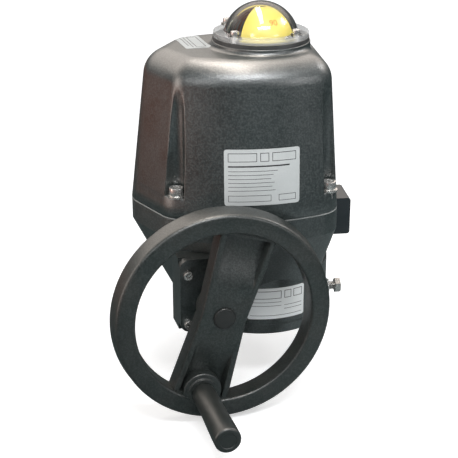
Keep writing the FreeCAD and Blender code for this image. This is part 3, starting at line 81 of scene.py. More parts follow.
class Slot(Enum):
    """The record's material slots."""

    CASTING = "casting"
    COVER_PAINT = "cover_paint"
    GASKET = "gasket"
    STAINLESS = "stainless"
    CLEAR = "clear"
    BLACK_RUBBER = "black_rubber"
    STEEL = "steel"
    BRONZE = "bronze"
    BLACK_PLASTIC = "black_plastic"
    YELLOW = "yellow"
    WHEEL_PLASTIC = "wheel_plastic"
    CAP_PLASTIC = "cap_plastic"
    WHITE_PLASTIC = "white_plastic"
    ALLOY = "alloy"
    BOARD_GREEN = "board_green"
    BOX_PAINT = "box_paint"


class Cut(Enum):
    """What one solid does to another."""

    JOIN = "UNION"
    TAKE = "DIFFERENCE"


# Node trees


# A Mix node's sockets for colours: the share, the two colours and the result.
MIX_INPUTS = (0, 6, 7)
MIX_RESULT = 2

# Scales of the noises that break up rubbed edges, which are partly a painted edge highlight, and
# dust, in waves per metre.
RUB_AND_SHEEN_SCALE = 140.0
CLOUD_SCALE = 34.0

# The part of a noise or mask that is drawn out to the whole range from 0 to 1.
MOTTLE_BAND = (0.34, 0.68)
FLECK_AND_GLINT_BAND = (0.45, 0.6)
EDGE_BAND = (0.56, 0.68)
RUB_AND_SHEEN_BAND = (0.42, 0.66)
CLOUD_BAND = (0.4, 0.75)
FACING_UP_BAND = (0.1, 1.0)
MARK_BAND = (0.35, 0.65)
DUST_LEAST = 0.15


class Graph:
    """Adds nodes to one tree and links them."""

    def __init__(self, tree: bpy.types.NodeTree) -> None:
        """Starts on the tree that takes the nodes."""
        self.tree = tree

    def feed(self, node: bpy.types.Node, inputs: dict) -> None:
        """Sets a node's inputs, or links them.

        Args:
            node: The node.
            inputs: Values or sockets by input name or number.
        """
        for name, value in inputs.items():
            if isinstance(value, Socket):
                self.tree.links.new(value, node.inputs[name])
            else:
                node.inputs[name].default_value = value

    def add(self, kind: str, inputs: dict | None = None, **settings: object) -> bpy.types.Node:
        """Adds a node.

        Args:
            kind: Blender's name for the node type.
            inputs: Values or sockets by input name or number.
            settings: The node's own properties.

        Returns:
            The new node.
        """
        node = self.tree.nodes.new(kind)
        for name, value in settings.items():
            setattr(node, name, value)
        self.feed(node, inputs or {})
        return node

    def math(self, operation: str, *values: object) -> Socket:
        """Adds a Math node and returns its result."""
        return self.add("ShaderNodeMath", dict(enumerate(values)), operation=operation).outputs[0]

    def blend(self, share: object, first: object, second: object) -> Socket:
        """Mixes two colours.

        Args:
            share: How much of the second colour shows.
            first: A colour, or the socket that gives one.
            second: A colour, or the socket that gives one.

        Returns:
            The mixed colour's socket.
        """
        colours = [c if isinstance(c, Socket) else (*c, 1) for c in (first, second)]
        inputs = dict(zip(MIX_INPUTS, (share, *colours)))
        return self.add("ShaderNodeMix", inputs, data_type="RGBA").outputs[MIX_RESULT]

    def ranged(self, value: object, low: float, high: float, start: float, end: float) -> Socket:
        """Maps low..high of a value to start..end and stops it there."""
        inputs = {"Value": value, "From Min": low, "From Max": high, "To Min": start, "To Max": end}
        return self.add("ShaderNodeMapRange", inputs).outputs[0]

    def noise(self, scale: object, detail: float, rough: float = 0.5, drawn: float = 1.0) -> Socket:
        """Adds a noise on Object coordinates.

        Args:
            scale: The noise's scale, or the socket that gives it.
            detail: Its detail.
            rough: Its roughness.
            drawn: How much finer it is along Z than across.

        Returns:
            The socket of its value.
        """
        place = self.add("ShaderNodeTexCoord").outputs["Object"]
        if drawn != 1.0:
            stretch = {"Vector": place, "Scale": (1.0, 1.0, drawn)}
            place = self.add("ShaderNodeMapping", stretch).outputs[0]
        inputs = {"Vector": place, "Scale": scale, "Detail": detail, "Roughness": rough}
        return self.add("ShaderNodeTexNoise", inputs).outputs[0]


@dataclass(frozen=True)
class EffectGroup:
    """A shader node group with named sockets, built once."""

    name: str
    inputs: tuple[tuple[str, float], ...]
    outputs: tuple[str, ...]
    fill: Callable[[Graph, bpy.types.Node], dict]

    def tree(self) -> bpy.types.NodeTree:
        """Builds the group at its first use.

        Returns:
            The node group.
        """
        found = bpy.data.node_groups.get(self.name)
        if found:
            return found
        tree = bpy.data.node_groups.new(self.name, "ShaderNodeTree")
        for name, value in self.inputs:
            socket = tree.interface.new_socket(name, in_out="INPUT", socket_type="NodeSocketFloat")
            socket.default_value = value
        for name in self.outputs:
            tree.interface.new_socket(name, in_out="OUTPUT", socket_type="NodeSocketFloat")
        graph = Graph(tree)
        graph.add("NodeGroupOutput", self.fill(graph, graph.add("NodeGroupInput")))
        return tree

    def use(self, graph: Graph, **values: float) -> bpy.types.Node:
        """Places the group in a material's graph, with its inputs by name."""
        inputs = {name.title(): value for name, value in values.items()}
        return graph.add("ShaderNodeGroup", inputs, node_tree=self.tree())


def fill_grain(graph: Graph, entry: bpy.types.Node) -> dict:
    """Makes a fine grain for the relief and a coarse mottle for tone and gloss.

    Args:
        graph: The group's graph.
        entry: The group's input node.

    Returns:
        The group's results by name.
    """
    fine = graph.noise(entry.outputs["Fine"], detail=3.0, rough=0.6)
    coarse = graph.noise(entry.outputs["Coarse"], detail=5.0, rough=0.62)
    return {"Height": fine, "Mottle": graph.ranged(coarse, *MOTTLE_BAND, 0, 1)}


def fill_wear_and_sheen(graph: Graph, entry: bpy.types.Node) -> dict:
    """Makes a mask of rubbed edges, broken up by noise: wear, and on the handwheel partly a painted
    highlight on its edges.

    Args:
        graph: The group's graph.
        entry: The group's input node.

    Returns:
        The group's results by name.
    """
    point = graph.add("ShaderNodeNewGeometry").outputs["Pointiness"]
    edge = graph.ranged(point, *EDGE_BAND, 0, 1)
    patch = graph.ranged(graph.noise(RUB_AND_SHEEN_SCALE, detail=6.0), *RUB_AND_SHEEN_BAND, 0, 1)
    worn_and_lit = graph.math("MULTIPLY", edge, patch)
    return {"Wear And Sheen": graph.math("MULTIPLY", worn_and_lit, entry.outputs["Amount"])}


def fill_dust(graph: Graph, entry: bpy.types.Node) -> dict:
    """Makes a mask of faint dust on what faces up.

    Args:
        graph: The group's graph.
        entry: The group's input node.

    Returns:
        The group's results by name.
    """
    normal = graph.add("ShaderNodeNewGeometry").outputs["Normal"]
    up = graph.add("ShaderNodeSeparateXYZ", {0: normal}).outputs["Z"]
    cloud = graph.ranged(graph.noise(CLOUD_SCALE, detail=8.0), *CLOUD_BAND, DUST_LEAST, 1)
    lying = graph.math("MULTIPLY", graph.ranged(up, *FACING_UP_BAND, 0, 1), cloud)
    return {"Dust": graph.math("MULTIPLY", lying, entry.outputs["Amount"])}


def fill_turning(graph: Graph, entry: bpy.types.Node) -> dict:
    """Makes fine drawn-out marks, as a lathe or a brush leaves them."""
    marks = graph.noise(entry.outputs["Scale"], detail=4.0, drawn=7.0)
    return {"Marks": graph.ranged(marks, *MARK_BAND, 0, 1)}


GRAIN = EffectGroup("grain", (("Coarse", 20.0), ("Fine", 900.0)), ("Height", "Mottle"), fill_grain)
WEAR_AND_SHEEN = EffectGroup("edge_wear_and_sheen", (("Amount", 1.0),), ("Wear And Sheen",), fill_wear_and_sheen)
DUST = EffectGroup("dust", (("Amount", 1.0),), ("Dust",), fill_dust)
TURNING = EffectGroup("turning_marks", (("Scale", 400.0),), ("Marks",), fill_turning)


# Finishes


# Light flecks on the grain's peaks: partly a speckled tone, partly painted glints of the paint's
# sparkle.
FLECK_AND_GLINT_TONE = (0.125, 0.145, 0.14)
DUST_TONE = (0.33, 0.31, 0.28)
SMEAR_TONE = (0.93, 0.95, 0.94)

# How much rougher full dust makes a coat, and how deep a lathe's marks are in metres.
DUST_DULLS = 0.5
MARK_DEPTH = 0.00005


@dataclass(frozen=True)
class Finish:
    """What every finish has: a name, and a material built once."""

    name: str

    def material(self) -> bpy.types.Material:
        """Gives the finish's material.

        Returns:
            The material, built at its first use.
        """
        name = self.name + "_finish"
        found = bpy.data.materials.get(name)
        if found:
            return found
        made = bpy.data.materials.new(name)
        made.use_nodes = True
        self.dress(Graph(made.node_tree), made.node_tree.nodes["Principled BSDF"])
        return made

    def dress(self, graph: Graph, shader: bpy.types.Node) -> None:
        """Sets the shader's sockets and links what varies."""
        raise NotImplementedError


@dataclass(frozen=True)
class Coating(Finish):
    """Paint, plastic or rubber: two near tones, a grain, rubbed edges that are partly a painted
    edge highlight, dust, and light flecks that are partly painted glints.

    The grain's scales are in waves per metre and its relief is in metres.
    """

    deep: Colour
    light: Colour
    roughness: float
    spread: float = 0.06
    coarse: float = 18.0
    fine: float = 900.0
    relief: float = 0.00012
    bite: float = 0.25
    wear_and_sheen: float = 0.0
    worn_and_sheen: Colour = (0.2, 0.19, 0.17)
    dust: float = 0.0
    specular: float = 0.5
    index: float = 1.5
    flecks_and_glints: float = 0.0

    def dress(self, graph: Graph, shader: bpy.types.Node) -> None:
        """Links tone, gloss and grain to the shader.

        Args:
            graph: The material's graph.
            shader: Its Principled BSDF.
        """
        grain = GRAIN.use(graph, coarse=self.coarse, fine=self.fine).outputs
        mottle, height = grain["Mottle"], grain["Height"]
        tone = graph.blend(mottle, self.deep, self.light)
        low, high = self.roughness - self.spread, self.roughness + self.spread
        gloss = graph.ranged(mottle, 0, 1, low, high)
        # Light flecks on the grain's peaks: a speckled tone that also paints in glints.
        if self.flecks_and_glints:
            share = graph.ranged(height, *FLECK_AND_GLINT_BAND, 0, self.flecks_and_glints)
            tone = graph.blend(share, tone, FLECK_AND_GLINT_TONE)
        # Lighter rubbed edges: wear, and on the handwheel partly a painted edge highlight.
        if self.wear_and_sheen:
            tone = graph.blend(WEAR_AND_SHEEN.use(graph, amount=self.wear_and_sheen).outputs[0], tone, self.worn_and_sheen)
        if self.dust:
            dust = DUST.use(graph, amount=self.dust).outputs[0]
            tone = graph.blend(dust, tone, DUST_TONE)
            gloss = graph.math("ADD", gloss, graph.math("MULTIPLY", dust, DUST_DULLS))
        relief = {"Height": height, "Strength": self.bite, "Distance": self.relief}
        graph.feed(
            shader,
            {
                "Base Color": tone,
                "Roughness": gloss,
                "Normal": graph.add("ShaderNodeBump", relief).outputs[0],
                "Specular IOR Level": self.specular,
                "IOR": self.index,
            },
        )


@dataclass(frozen=True)
class BareMetal(Finish):
    """Bright or machined metal with fine marks."""

    bright: Colour
    dull: Colour
    roughness: float
    spread: float = 0.08
    marks: float = 420.0
    bite: float = 0.08
    metallic: float = 1.0

    def dress(self, graph: Graph, shader: bpy.types.Node) -> None:
        """Links the marks to tone, gloss and relief.

        Args:
            graph: The material's graph.
            shader: Its Principled BSDF.
        """
        marks = TURNING.use(graph, scale=self.marks).outputs[0]
        low, high = self.roughness - self.spread, self.roughness + self.spread
        relief = {"Height": marks, "Strength": self.bite, "Distance": MARK_DEPTH}
        graph.feed(
            shader,
            {
                "Base Color": graph.blend(marks, self.bright, self.dull),
                "Roughness": graph.ranged(marks, 0, 1, low, high),
                "Normal": graph.add("ShaderNodeBump", relief).outputs[0],
                "Metallic": self.metallic,
            },
        )


@dataclass(frozen=True)
class ClearPlastic(Finish):
    """A clear moulding with faint smears."""

    tint: Colour = (0.97, 0.985, 0.98)
    index: float = 1.38
    roughness: float = 0.01
    smear: float = 0.05
    coarse: float = 26.0
    fine: float = 160.0
    clearness: float = 1.0
    opacity: float = 1.0

    def dress(self, graph: Graph, shader: bpy.types.Node) -> None:
        """Sets the clear body, links the smears to its gloss and lets lamplight through.

        Args:
            graph: The material's graph.
            shader: Its Principled BSDF.
        """
        mottle = GRAIN.use(graph, coarse=self.coarse, fine=self.fine).outputs["Mottle"]
        rough = self.roughness + self.smear
        graph.feed(
            shader,
            {
                "Roughness": graph.ranged(mottle, 0, 1, self.roughness, rough),
                "Base Color": graph.blend(mottle, self.tint, SMEAR_TONE),
                "Transmission Weight": self.clearness,
                "IOR": self.index,
                "Alpha": self.opacity,
            },
        )
        path = graph.add("ShaderNodeLightPath").outputs
        passing = graph.math("MAXIMUM", path["Is Shadow Ray"], path["Is Diffuse Ray"])
        clear = graph.add("ShaderNodeBsdfTransparent").outputs[0]
        mixed = graph.add("ShaderNodeMixShader", {0: passing, 1: shader.outputs[0], 2: clear})
        output = next(node for node in graph.tree.nodes if node.type == "OUTPUT_MATERIAL")
        graph.feed(output, {"Surface": mixed.outputs[0]})


CHARCOAL_PAINT = Coating(
    "charcoal_paint",
    deep=(0.006, 0.012, 0.012),
    light=(0.012, 0.019, 0.019),
    roughness=0.35,
    spread=0.05,
    coarse=26.0,
    fine=620.0,
    relief=0.0003,
    bite=0.6,
    dust=0.03,
    specular=1.0,
    index=1.75,
    flecks_and_glints=0.28,
)
WHEEL_PLASTIC = Coating(
    "wheel_plastic",
    deep=(0.004, 0.009, 0.008),
    light=(0.012, 0.014, 0.0125),
    roughness=0.38,
    coarse=30.0,
    fine=620.0,
    relief=0.0003,
    bite=0.6,
    wear_and_sheen=0.5,
    # The handwheel's brown edge tone is partly wear and partly a painted highlight on its lit
    # edges.
    worn_and_sheen=(0.1, 0.075, 0.06),
    dust=0.03,
    specular=0.8,
    index=1.6,
    flecks_and_glints=0.15,
)
BOX_PAINT = Coating(
    "box_paint",
    deep=(0.014, 0.02, 0.024),
    light=(0.026, 0.033, 0.038),
    roughness=0.4,
    fine=700.0,
    relief=0.0001,
    dust=0.03,
)
BLACK_PLASTIC = Coating(
    "black_plastic",
    (0.012, 0.012, 0.013),
    (0.024, 0.024, 0.024),
    roughness=0.36,
    bite=0.2,
    wear_and_sheen=0.3,
)
CAP_PLASTIC = Coating(
    "cap_plastic",
    (0.014, 0.016, 0.016),
    (0.024, 0.024, 0.023),
    roughness=0.32,
    bite=0.12,
    wear_and_sheen=0.4,
)
SECTOR_YELLOW = Coating(
    "sector_yellow", (0.93, 0.72, 0.12), (0.97, 0.82, 0.24), roughness=0.22, bite=0.04
)
BOARD_GREEN = Coating(
    "board_green", (0.01, 0.09, 0.04), (0.02, 0.16, 0.07), roughness=0.35, coarse=300.0
)
BLACK_RUBBER = Coating(
    "black_rubber", (0.01, 0.01, 0.01), (0.022, 0.022, 0.022), roughness=0.5
)
WHITE_PLASTIC = Coating(
    "white_plastic", (0.62, 0.61, 0.58), (0.72, 0.71, 0.68), roughness=0.4
)
STAINLESS = BareMetal(
    "stainless",
    (0.7, 0.69, 0.67),
    (0.6, 0.59, 0.57),
    roughness=0.26,
    spread=0.03,
    bite=0.02,
    metallic=0.85,
)
STEEL = BareMetal("machined_steel", (0.52, 0.51, 0.5), (0.38, 0.37, 0.36), roughness=0.34)
FINISHES = {
    Slot.COVER_PAINT: CHARCOAL_PAINT,
    Slot.CASTING: replace(CHARCOAL_PAINT, name="charcoal_casting", roughness=0.36, coarse=60.0),
    Slot.WHEEL_PLASTIC: WHEEL_PLASTIC,
    Slot.BLACK_PLASTIC: BLACK_PLASTIC,
    Slot.CAP_PLASTIC: CAP_PLASTIC,
    Slot.BOX_PAINT: BOX_PAINT,
    Slot.YELLOW: SECTOR_YELLOW,
    Slot.GASKET: Coating("grey_gasket", (0.16, 0.17, 0.17), (0.3, 0.31, 0.3), roughness=0.6),
    Slot.BLACK_RUBBER: BLACK_RUBBER,
    Slot.WHITE_PLASTIC: WHITE_PLASTIC,
    Slot.BOARD_GREEN: BOARD_GREEN,
    Slot.STAINLESS: STAINLESS,
    Slot.STEEL: STEEL,
    Slot.BRONZE: BareMetal("bronze", (0.62, 0.4, 0.2), (0.46, 0.28, 0.13), roughness=0.36),
    Slot.ALLOY: BareMetal("alloy", (0.66, 0.66, 0.65), (0.5, 0.5, 0.5), roughness=0.42),
    Slot.CLEAR: ClearPlastic("clear_plastic"),
}
STOP_SCREW_STEEL = replace(
    STAINLESS, name="stop_screw_steel", bright=(0.52, 0.51, 0.49), dull=(0.43, 0.42, 0.41)
)
GRIP_PLASTIC = replace(
    WHEEL_PLASTIC, name="grip_plastic", roughness=0.42, bite=0.04, wear_and_sheen=0.0, dust=0.0, flecks_and_glints=0.0
)
INDICATOR_PLASTIC = Coating(
    "indicator_plastic", (0.04, 0.015, 0.011), (0.065, 0.025, 0.018), roughness=0.14, bite=0.05
)
RIB_PLASTIC = Coating(
    "rib_plastic", (0.025, 0.03, 0.03), (0.06, 0.07, 0.068), roughness=0.2, bite=0.05
)
WINDOW_RUBBER = replace(BLACK_RUBBER, name="window_rubber", light=(0.07, 0.07, 0.07))
FROSTED_PLASTIC = ClearPlastic(
    "frosted_plastic", tint=(1.0, 1.0, 1.0), roughness=0.03, clearness=0.5, opacity=0.55
)
# The labels' film is a light grey darkened further as painted shade, so that the lamps don't wash
# it out.
LABEL_FILM_WITH_PAINTED_SHADE = Coating(
    "label_film_with_painted_shade",
    (0.46, 0.49, 0.49),
    (0.54, 0.56, 0.56),
    roughness=0.4,
    spread=0.04,
    coarse=12.0,
    bite=0.05,
)
# A paler copy of the label film for the plate on the base: partly the plate's own paler tone,
# partly painted light against the handwheel's shadow.
PALE_PLATE_FILM_WITH_PAINTED_LIGHT = replace(
    LABEL_FILM_WITH_PAINTED_SHADE, name="pale_plate_film_with_painted_light", deep=(0.74, 0.78, 0.79), light=(0.82, 0.85, 0.85)
)
PRINT_INK = Coating(
    "print_ink", (0.02, 0.02, 0.022), (0.05, 0.05, 0.052), roughness=0.42, coarse=160.0
)
DIAL_INK = Coating(
    "dial_ink", (0.72, 0.17, 0.02), (0.8, 0.22, 0.03), roughness=0.4, coarse=90.0, bite=0.05
)


# Meshes


# A radius below POLE is a point on the axis, and points nearer than WELD become one.
POLE = 1e-6
WELD = 1e-4


def rounded(corners: Sequence[Sequence[float]], steps: int = 5) -> list[Spot]:
    """Rounds the corners of a run of points.

    Args:
        corners: Points as (a, b) or (a, b, radius). Only a corner with neighbours
            on both sides, or of a closed run, takes a radius.
        steps: Straight runs in each rounding.

    Returns:
        The run with its corners rounded.
    """
    run: list[Spot] = []
    for number, corner in enumerate(corners):
        point = Vector(corner[:2])
        radius = corner[2] if len(corner) > 2 else 0.0
        if not radius:
            run.append(tuple(point))
            continue
        to_last = (Vector(corners[number - 1][:2]) - point).normalized()
        to_next = (Vector(corners[(number + 1) % len(corners)][:2]) - point).normalized()
        half = to_last.angle(to_next) / 2
        centre = point + (to_last + to_next).normalized() * (radius / math.sin(half))
        tangent = radius / math.tan(half)
        first, last = (point + side * tangent - centre for side in (to_last, to_next))
        start = math.atan2(first.y, first.x)
        sweep = (math.atan2(last.y, last.x) - start + math.pi) % math.tau - math.pi
        for step in range(steps + 1):
            angle = start + sweep * step / steps
            run.append((centre.x + radius * math.cos(angle), centre.y + radius * math.sin(angle)))
    return run


def circle(radius: float, height: float, count: int) -> list[Point]:
    """Lays points on a level circle about Z.

    Args:
        radius: The circle's radius.
        height: Its height.
        count: How many points it has.

    Returns:
        The points, or the centre alone where the radius is nothing.
    """
    if radius < POLE:
        return [(0.0, 0.0, height)]
    angles = (math.tau * step / count for step in range(count))
    return [(radius * math.cos(a), radius * math.sin(a), height) for a in angles]


def dome_arc(radius: float, height: float, first: float, last: float, count: int) -> list[Spot]:
    """Draws a dome's section about its middle's height, between two angles from the pole."""
    angles = np.linspace(first, last, count)
    return [(radius * math.sin(a), height + radius * math.cos(a)) for a in angles]


class Shape:
    """A mesh in millimetres that grows form by form and ends as one piece."""

    def __init__(self) -> None:
        """Starts with nothing."""
        self.mesh = bmesh.new()

    def skin(self, rings: Sequence[Ring], place: Matrix = UPRIGHT, hoop: bool = False) -> None:
        """Lays faces between rings of points and closes both ends.

        Args:
            rings: Rings with the same number of points, or with one at a pole.
            place: Where the form goes.
            hoop: Whether the last ring meets the first, so that nothing is capped.
        """
        add = self.mesh.verts.new
        laid = [[add(place @ Vector(point)) for point in ring] for ring in rings]
        pairs = list(zip(laid, laid[1:])) + ([(laid[-1], laid[0])] if hoop else [])
        for low, high in pairs:
            count = max(len(low), len(high))
            for step in range(count):
                after = (step + 1) % count
                round_face = ((low, step), (low, after), (high, after), (high, step))
                corners = [ring[number % len(ring)] for ring, number in round_face]
                self.mesh.faces.new(list(dict.fromkeys(corners)))
        for ring in () if hoop else (laid[0], laid[-1]):
            if len(ring) > 2:
                self.mesh.faces.new(ring)

    def revolve(
        self,
        section: Iterable[Spot],
        place: Matrix = UPRIGHT,
        count: int = 96,
        hoop: bool = False,
    ) -> None:
        """Turns a section of (radius, height) about Z."""
        self.skin([circle(radius, height, count) for radius, height in section], place, hoop)

    def prism(self, outline: Sequence[Spot], low: float, high: float, place: Matrix) -> None:
        """Stands an outline up between two heights."""
        self.skin([[(x, y, height) for x, y in outline] for height in (low, high)], place)

    def object(self, name: str) -> bpy.types.Object:
        """Turns the mesh to metres and makes it an object.

        Args:
            name: The object's name.

        Returns:
            The object, with faces outward.
        """
        bmesh.ops.remove_doubles(self.mesh, verts=self.mesh.verts, dist=WELD)
        bmesh.ops.recalc_face_normals(self.mesh, faces=self.mesh.faces)
        bmesh.ops.scale(self.mesh, vec=(MM, MM, MM), verts=self.mesh.verts)
        return placed(name, baked(name, self.mesh))


def baked(name: str, mesh: bmesh.types.BMesh) -> bpy.types.Mesh:
    """Turns a bmesh into mesh data and frees it.

    Args:
        name: The data's name.
        mesh: The bmesh, which is used up.

    Returns:
        The mesh data.
    """
    data = bpy.data.meshes.new(name)
    mesh.to_mesh(data)
    mesh.free()
    return data


def placed(name: str, data: bpy.types.ID) -> bpy.types.Object:
    """Puts data in the scene.

    Args:
        name: The object's name.
        data: What the object shows.

    Returns:
        The object.
    """
    made = bpy.data.objects.new(name, data)
    bpy.context.scene.collection.objects.link(made)
    return made


def evaluated(thing: bpy.types.Object) -> bpy.types.Mesh:
    """Gives an object's mesh as its modifiers leave it."""
    view = bpy.context.evaluated_depsgraph_get()
    return bpy.data.meshes.new_from_object(thing.evaluated_get(view), depsgraph=view)


def settle(thing: bpy.types.Object) -> bpy.types.Object:
    """Turns an object's modifiers into its plain mesh.

    Args:
        thing: The object.

    Returns:
        The same object, with no modifiers.
    """
    data = evaluated(thing)
    thing.modifiers.clear()
    thing.data = data
    return thing


def soften(
    thing: bpy.types.Object, width: float, steps: int = 2, angle: float = 35.0
) -> bpy.types.Object:
    """Rounds an object's edges.

    Args:
        thing: The object.
        width: The rounding's width.
        steps: How many faces go round it.
        angle: The angle in degrees past which an edge is rounded.

    Returns:
        The same object.
    """
    bevel = thing.modifiers.new("soften", "BEVEL")
    bevel.width = width * MM
    bevel.segments = steps
    bevel.angle_limit = math.radians(angle)
    return settle(thing)


def unite(thing: bpy.types.Object, other: bpy.types.Object, cut: Cut) -> None:
    """Joins another solid to an object, or cuts it away.

    Args:
        thing: The object that is kept.
        other: The solid to add or cut, which is used up.
        cut: What the other solid does.
    """
    step = thing.modifiers.new("unite", "BOOLEAN")
    step.operation = cut.value
    step.object = other
    settle(thing)
    bpy.data.objects.remove(other)


def join_pieces(parts: Sequence[bpy.types.Object], name: str) -> bpy.types.Object:
    """Joins pieces of one body and finish into one.

    Args:
        parts: The pieces.
        name: The joined piece's name.

    Returns:
        The joined piece.
    """
    mesh = bmesh.new()
    for part in parts:
        mesh.from_mesh(part.data)
    kept, *others = parts
    mesh.to_mesh(kept.data)
    mesh.free()
    for part in others:
        bpy.data.objects.remove(part)
    kept.name = name
    return kept


def run_tree(thing: bpy.types.Object, tree: bpy.types.NodeTree, values: dict) -> None:
    """Runs a Geometry Nodes tree on an object and keeps the result as its mesh.

    Args:
        thing: The object.
        tree: The tree.
        values: Input values by the sockets' names.
    """
    step = thing.modifiers.new("nodes", "NODES")
    step.node_group = tree
    for item in tree.interface.items_tree:
        if item.item_type == "SOCKET" and item.in_out == "INPUT" and item.name in values:
            step[item.identifier] = values[item.name]
    settle(thing)


def open_tree(name: str, sizes: Iterable[str], counts: Iterable[str] = ()) -> Graph:
    """Starts a Geometry Nodes tree with named inputs and a finish.

    Args:
        name: The tree's name.
        sizes: The names of its inputs for sizes and angles.
        counts: The names of its inputs for whole numbers.

    Returns:
        The tree's graph.
    """
    graph = Graph(bpy.data.node_groups.new(name, "GeometryNodeTree"))
    rows = [(size, "Float") for size in sizes] + [(count, "Int") for count in counts]
    for label, kind in (*rows, ("Finish", "Material")):
        graph.tree.interface.new_socket(label, in_out="INPUT", socket_type="NodeSocket" + kind)
    graph.tree.interface.new_socket(
        "Geometry", in_out="OUTPUT", socket_type="NodeSocketGeometry"
    )
    return graph


def close_tree(graph: Graph, instances: Socket, finish: Socket) -> bpy.types.NodeTree:
    """Ends a Geometry Nodes tree: its instances become real and take the finish.

    Args:
        graph: The tree's graph.
        instances: The instances' socket.
        finish: The finish's socket.

    Returns:
        The tree.
    """
    real = graph.add("GeometryNodeRealizeInstances", {0: instances}).outputs[0]
    dressed = graph.add("GeometryNodeSetMaterial", {"Geometry": real, "Material": finish})
    graph.add("NodeGroupOutput", {"Geometry": dressed.outputs[0]})
    return graph.tree


def finish_piece(
    thing: bpy.types.Object,
    slot: Slot,
    body: Body,
    stands_for: Sequence[str] = (),
    finish: Finish | None = None,
    crease: float = 35.0,
) -> bpy.types.Object:
    """Dresses a piece and sets it on its body.

    Args:
        thing: The object.
        slot: The record's slot that it takes its finish from.
        body: The body that carries it.
        stands_for: The CAD nodes that it replaces.
        finish: Its finish, where that isn't the slot's own.
        crease: The angle in degrees past which an edge shows as sharp.

    Returns:
        The finished piece.
    """
    thing.data.materials.clear()
    thing.data.materials.append((finish or FINISHES[slot]).material())
    thing.data.shade_smooth()
    thing.data.set_sharp_from_angle(angle=math.radians(crease))
    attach(thing, body.value)
    if stands_for:
        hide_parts(*stands_for)
    return thing


# Housing


@dataclass(frozen=True)
class PlanOutline:
    """The plan of the cover: bowed front and back, a nosed left end, round corners.

    The two slopes of the nose run from half the plan's depth at the left end to the nose,
    whose tip would be at the reach if it weren't rounded.
    """

    reach: float = 120.0
    nose: float = 16.0
    left: float = 95.5
    right: float = 67.0
    half: float = 62.5
    bow: float = 160.0
    turn: float = 28.0
    samples: int = 60

    def arcs(self) -> list[tuple[complex, float, float, float]]:
        """Works out the arcs of the outline, from the nose over the front to the back.

        Returns:
            Each arc's centre, radius, first and last angle.
        """
        middle = (self.right - self.left) / 2
        span = (self.right + self.left) / 2
        back = math.sqrt(self.bow**2 - span**2) - self.half
        run, rise = self.reach - self.left, self.half - self.nose
        slope = math.hypot(run, rise)
        nose_radius = self.nose * slope / run
        nose_centre = complex(nose_radius * rise / slope - self.reach, 0)
        side, inner = self.right - self.turn, self.bow - self.turn
        bow_centre = complex(middle, back)
        right_centre = complex(side, back - math.sqrt(inner**2 - (side - middle) ** 2))
        inward, along = complex(rise, run) / slope, complex(-run, rise) / slope
        start = inward * self.turn - complex(self.left, self.half) - bow_centre
        lean = start.real * along.real + start.imag * along.imag
        step = -lean - math.sqrt(lean**2 - abs(start) ** 2 + inner**2)
        left_centre = start + bow_centre + along * step
        away = -inward
        nose_turn = math.atan2(away.imag, away.real) % math.tau

        def heading(centre: complex) -> float:
            """Gives the angle at which the bow's centre sees a corner's centre."""
            toward = centre - bow_centre
            return math.atan2(toward.imag, toward.real) % math.tau

        front = [
            (left_centre, self.turn, nose_turn, heading(left_centre)),
            (bow_centre, self.bow, heading(left_centre), heading(right_centre)),
            (right_centre, self.turn, heading(right_centre), math.tau),
        ]
        mirrored = reversed(front)
        back_half = [(c.conjugate(), r, math.tau - b, math.tau - a) for c, r, a, b in mirrored]
        return [*front, *back_half, (nose_centre, nose_radius, math.tau - nose_turn, nose_turn)]

    def points(self, inset: float, scale: float) -> np.ndarray:
        """Draws the outline.

        Args:
            inset: How far it is drawn in before it is scaled.
            scale: Its scale about the output axis.

        Returns:
            Its points as complex numbers.
        """
        run = []
        for centre, radius, first, last in self.arcs():
            angles = np.linspace(first, last, self.samples)
            run.append(centre + (radius - inset) * np.exp(1j * angles))
        gaps = zip(run, [*run[1:], run[0]])
        straights = [np.linspace(a[-1], b[0], self.samples)[1:-1] for a, b in gaps]
        return np.concatenate([*run, *straights]) * scale

    def radii(self, rays: np.ndarray, inset: float, scale: float) -> np.ndarray:
        """Works out how far the outline is from the output axis along each ray.

        Args:
            rays: The rays' angles.
            inset: How far the outline is drawn in before it is scaled.
            scale: Its scale.

        Returns:
            One distance for each ray.
        """
        points = self.points(inset, scale)
        angles = np.angle(points) % math.tau
        order = np.argsort(angles)
        return np.interp(rays % math.tau, angles[order], np.abs(points)[order], period=math.tau)


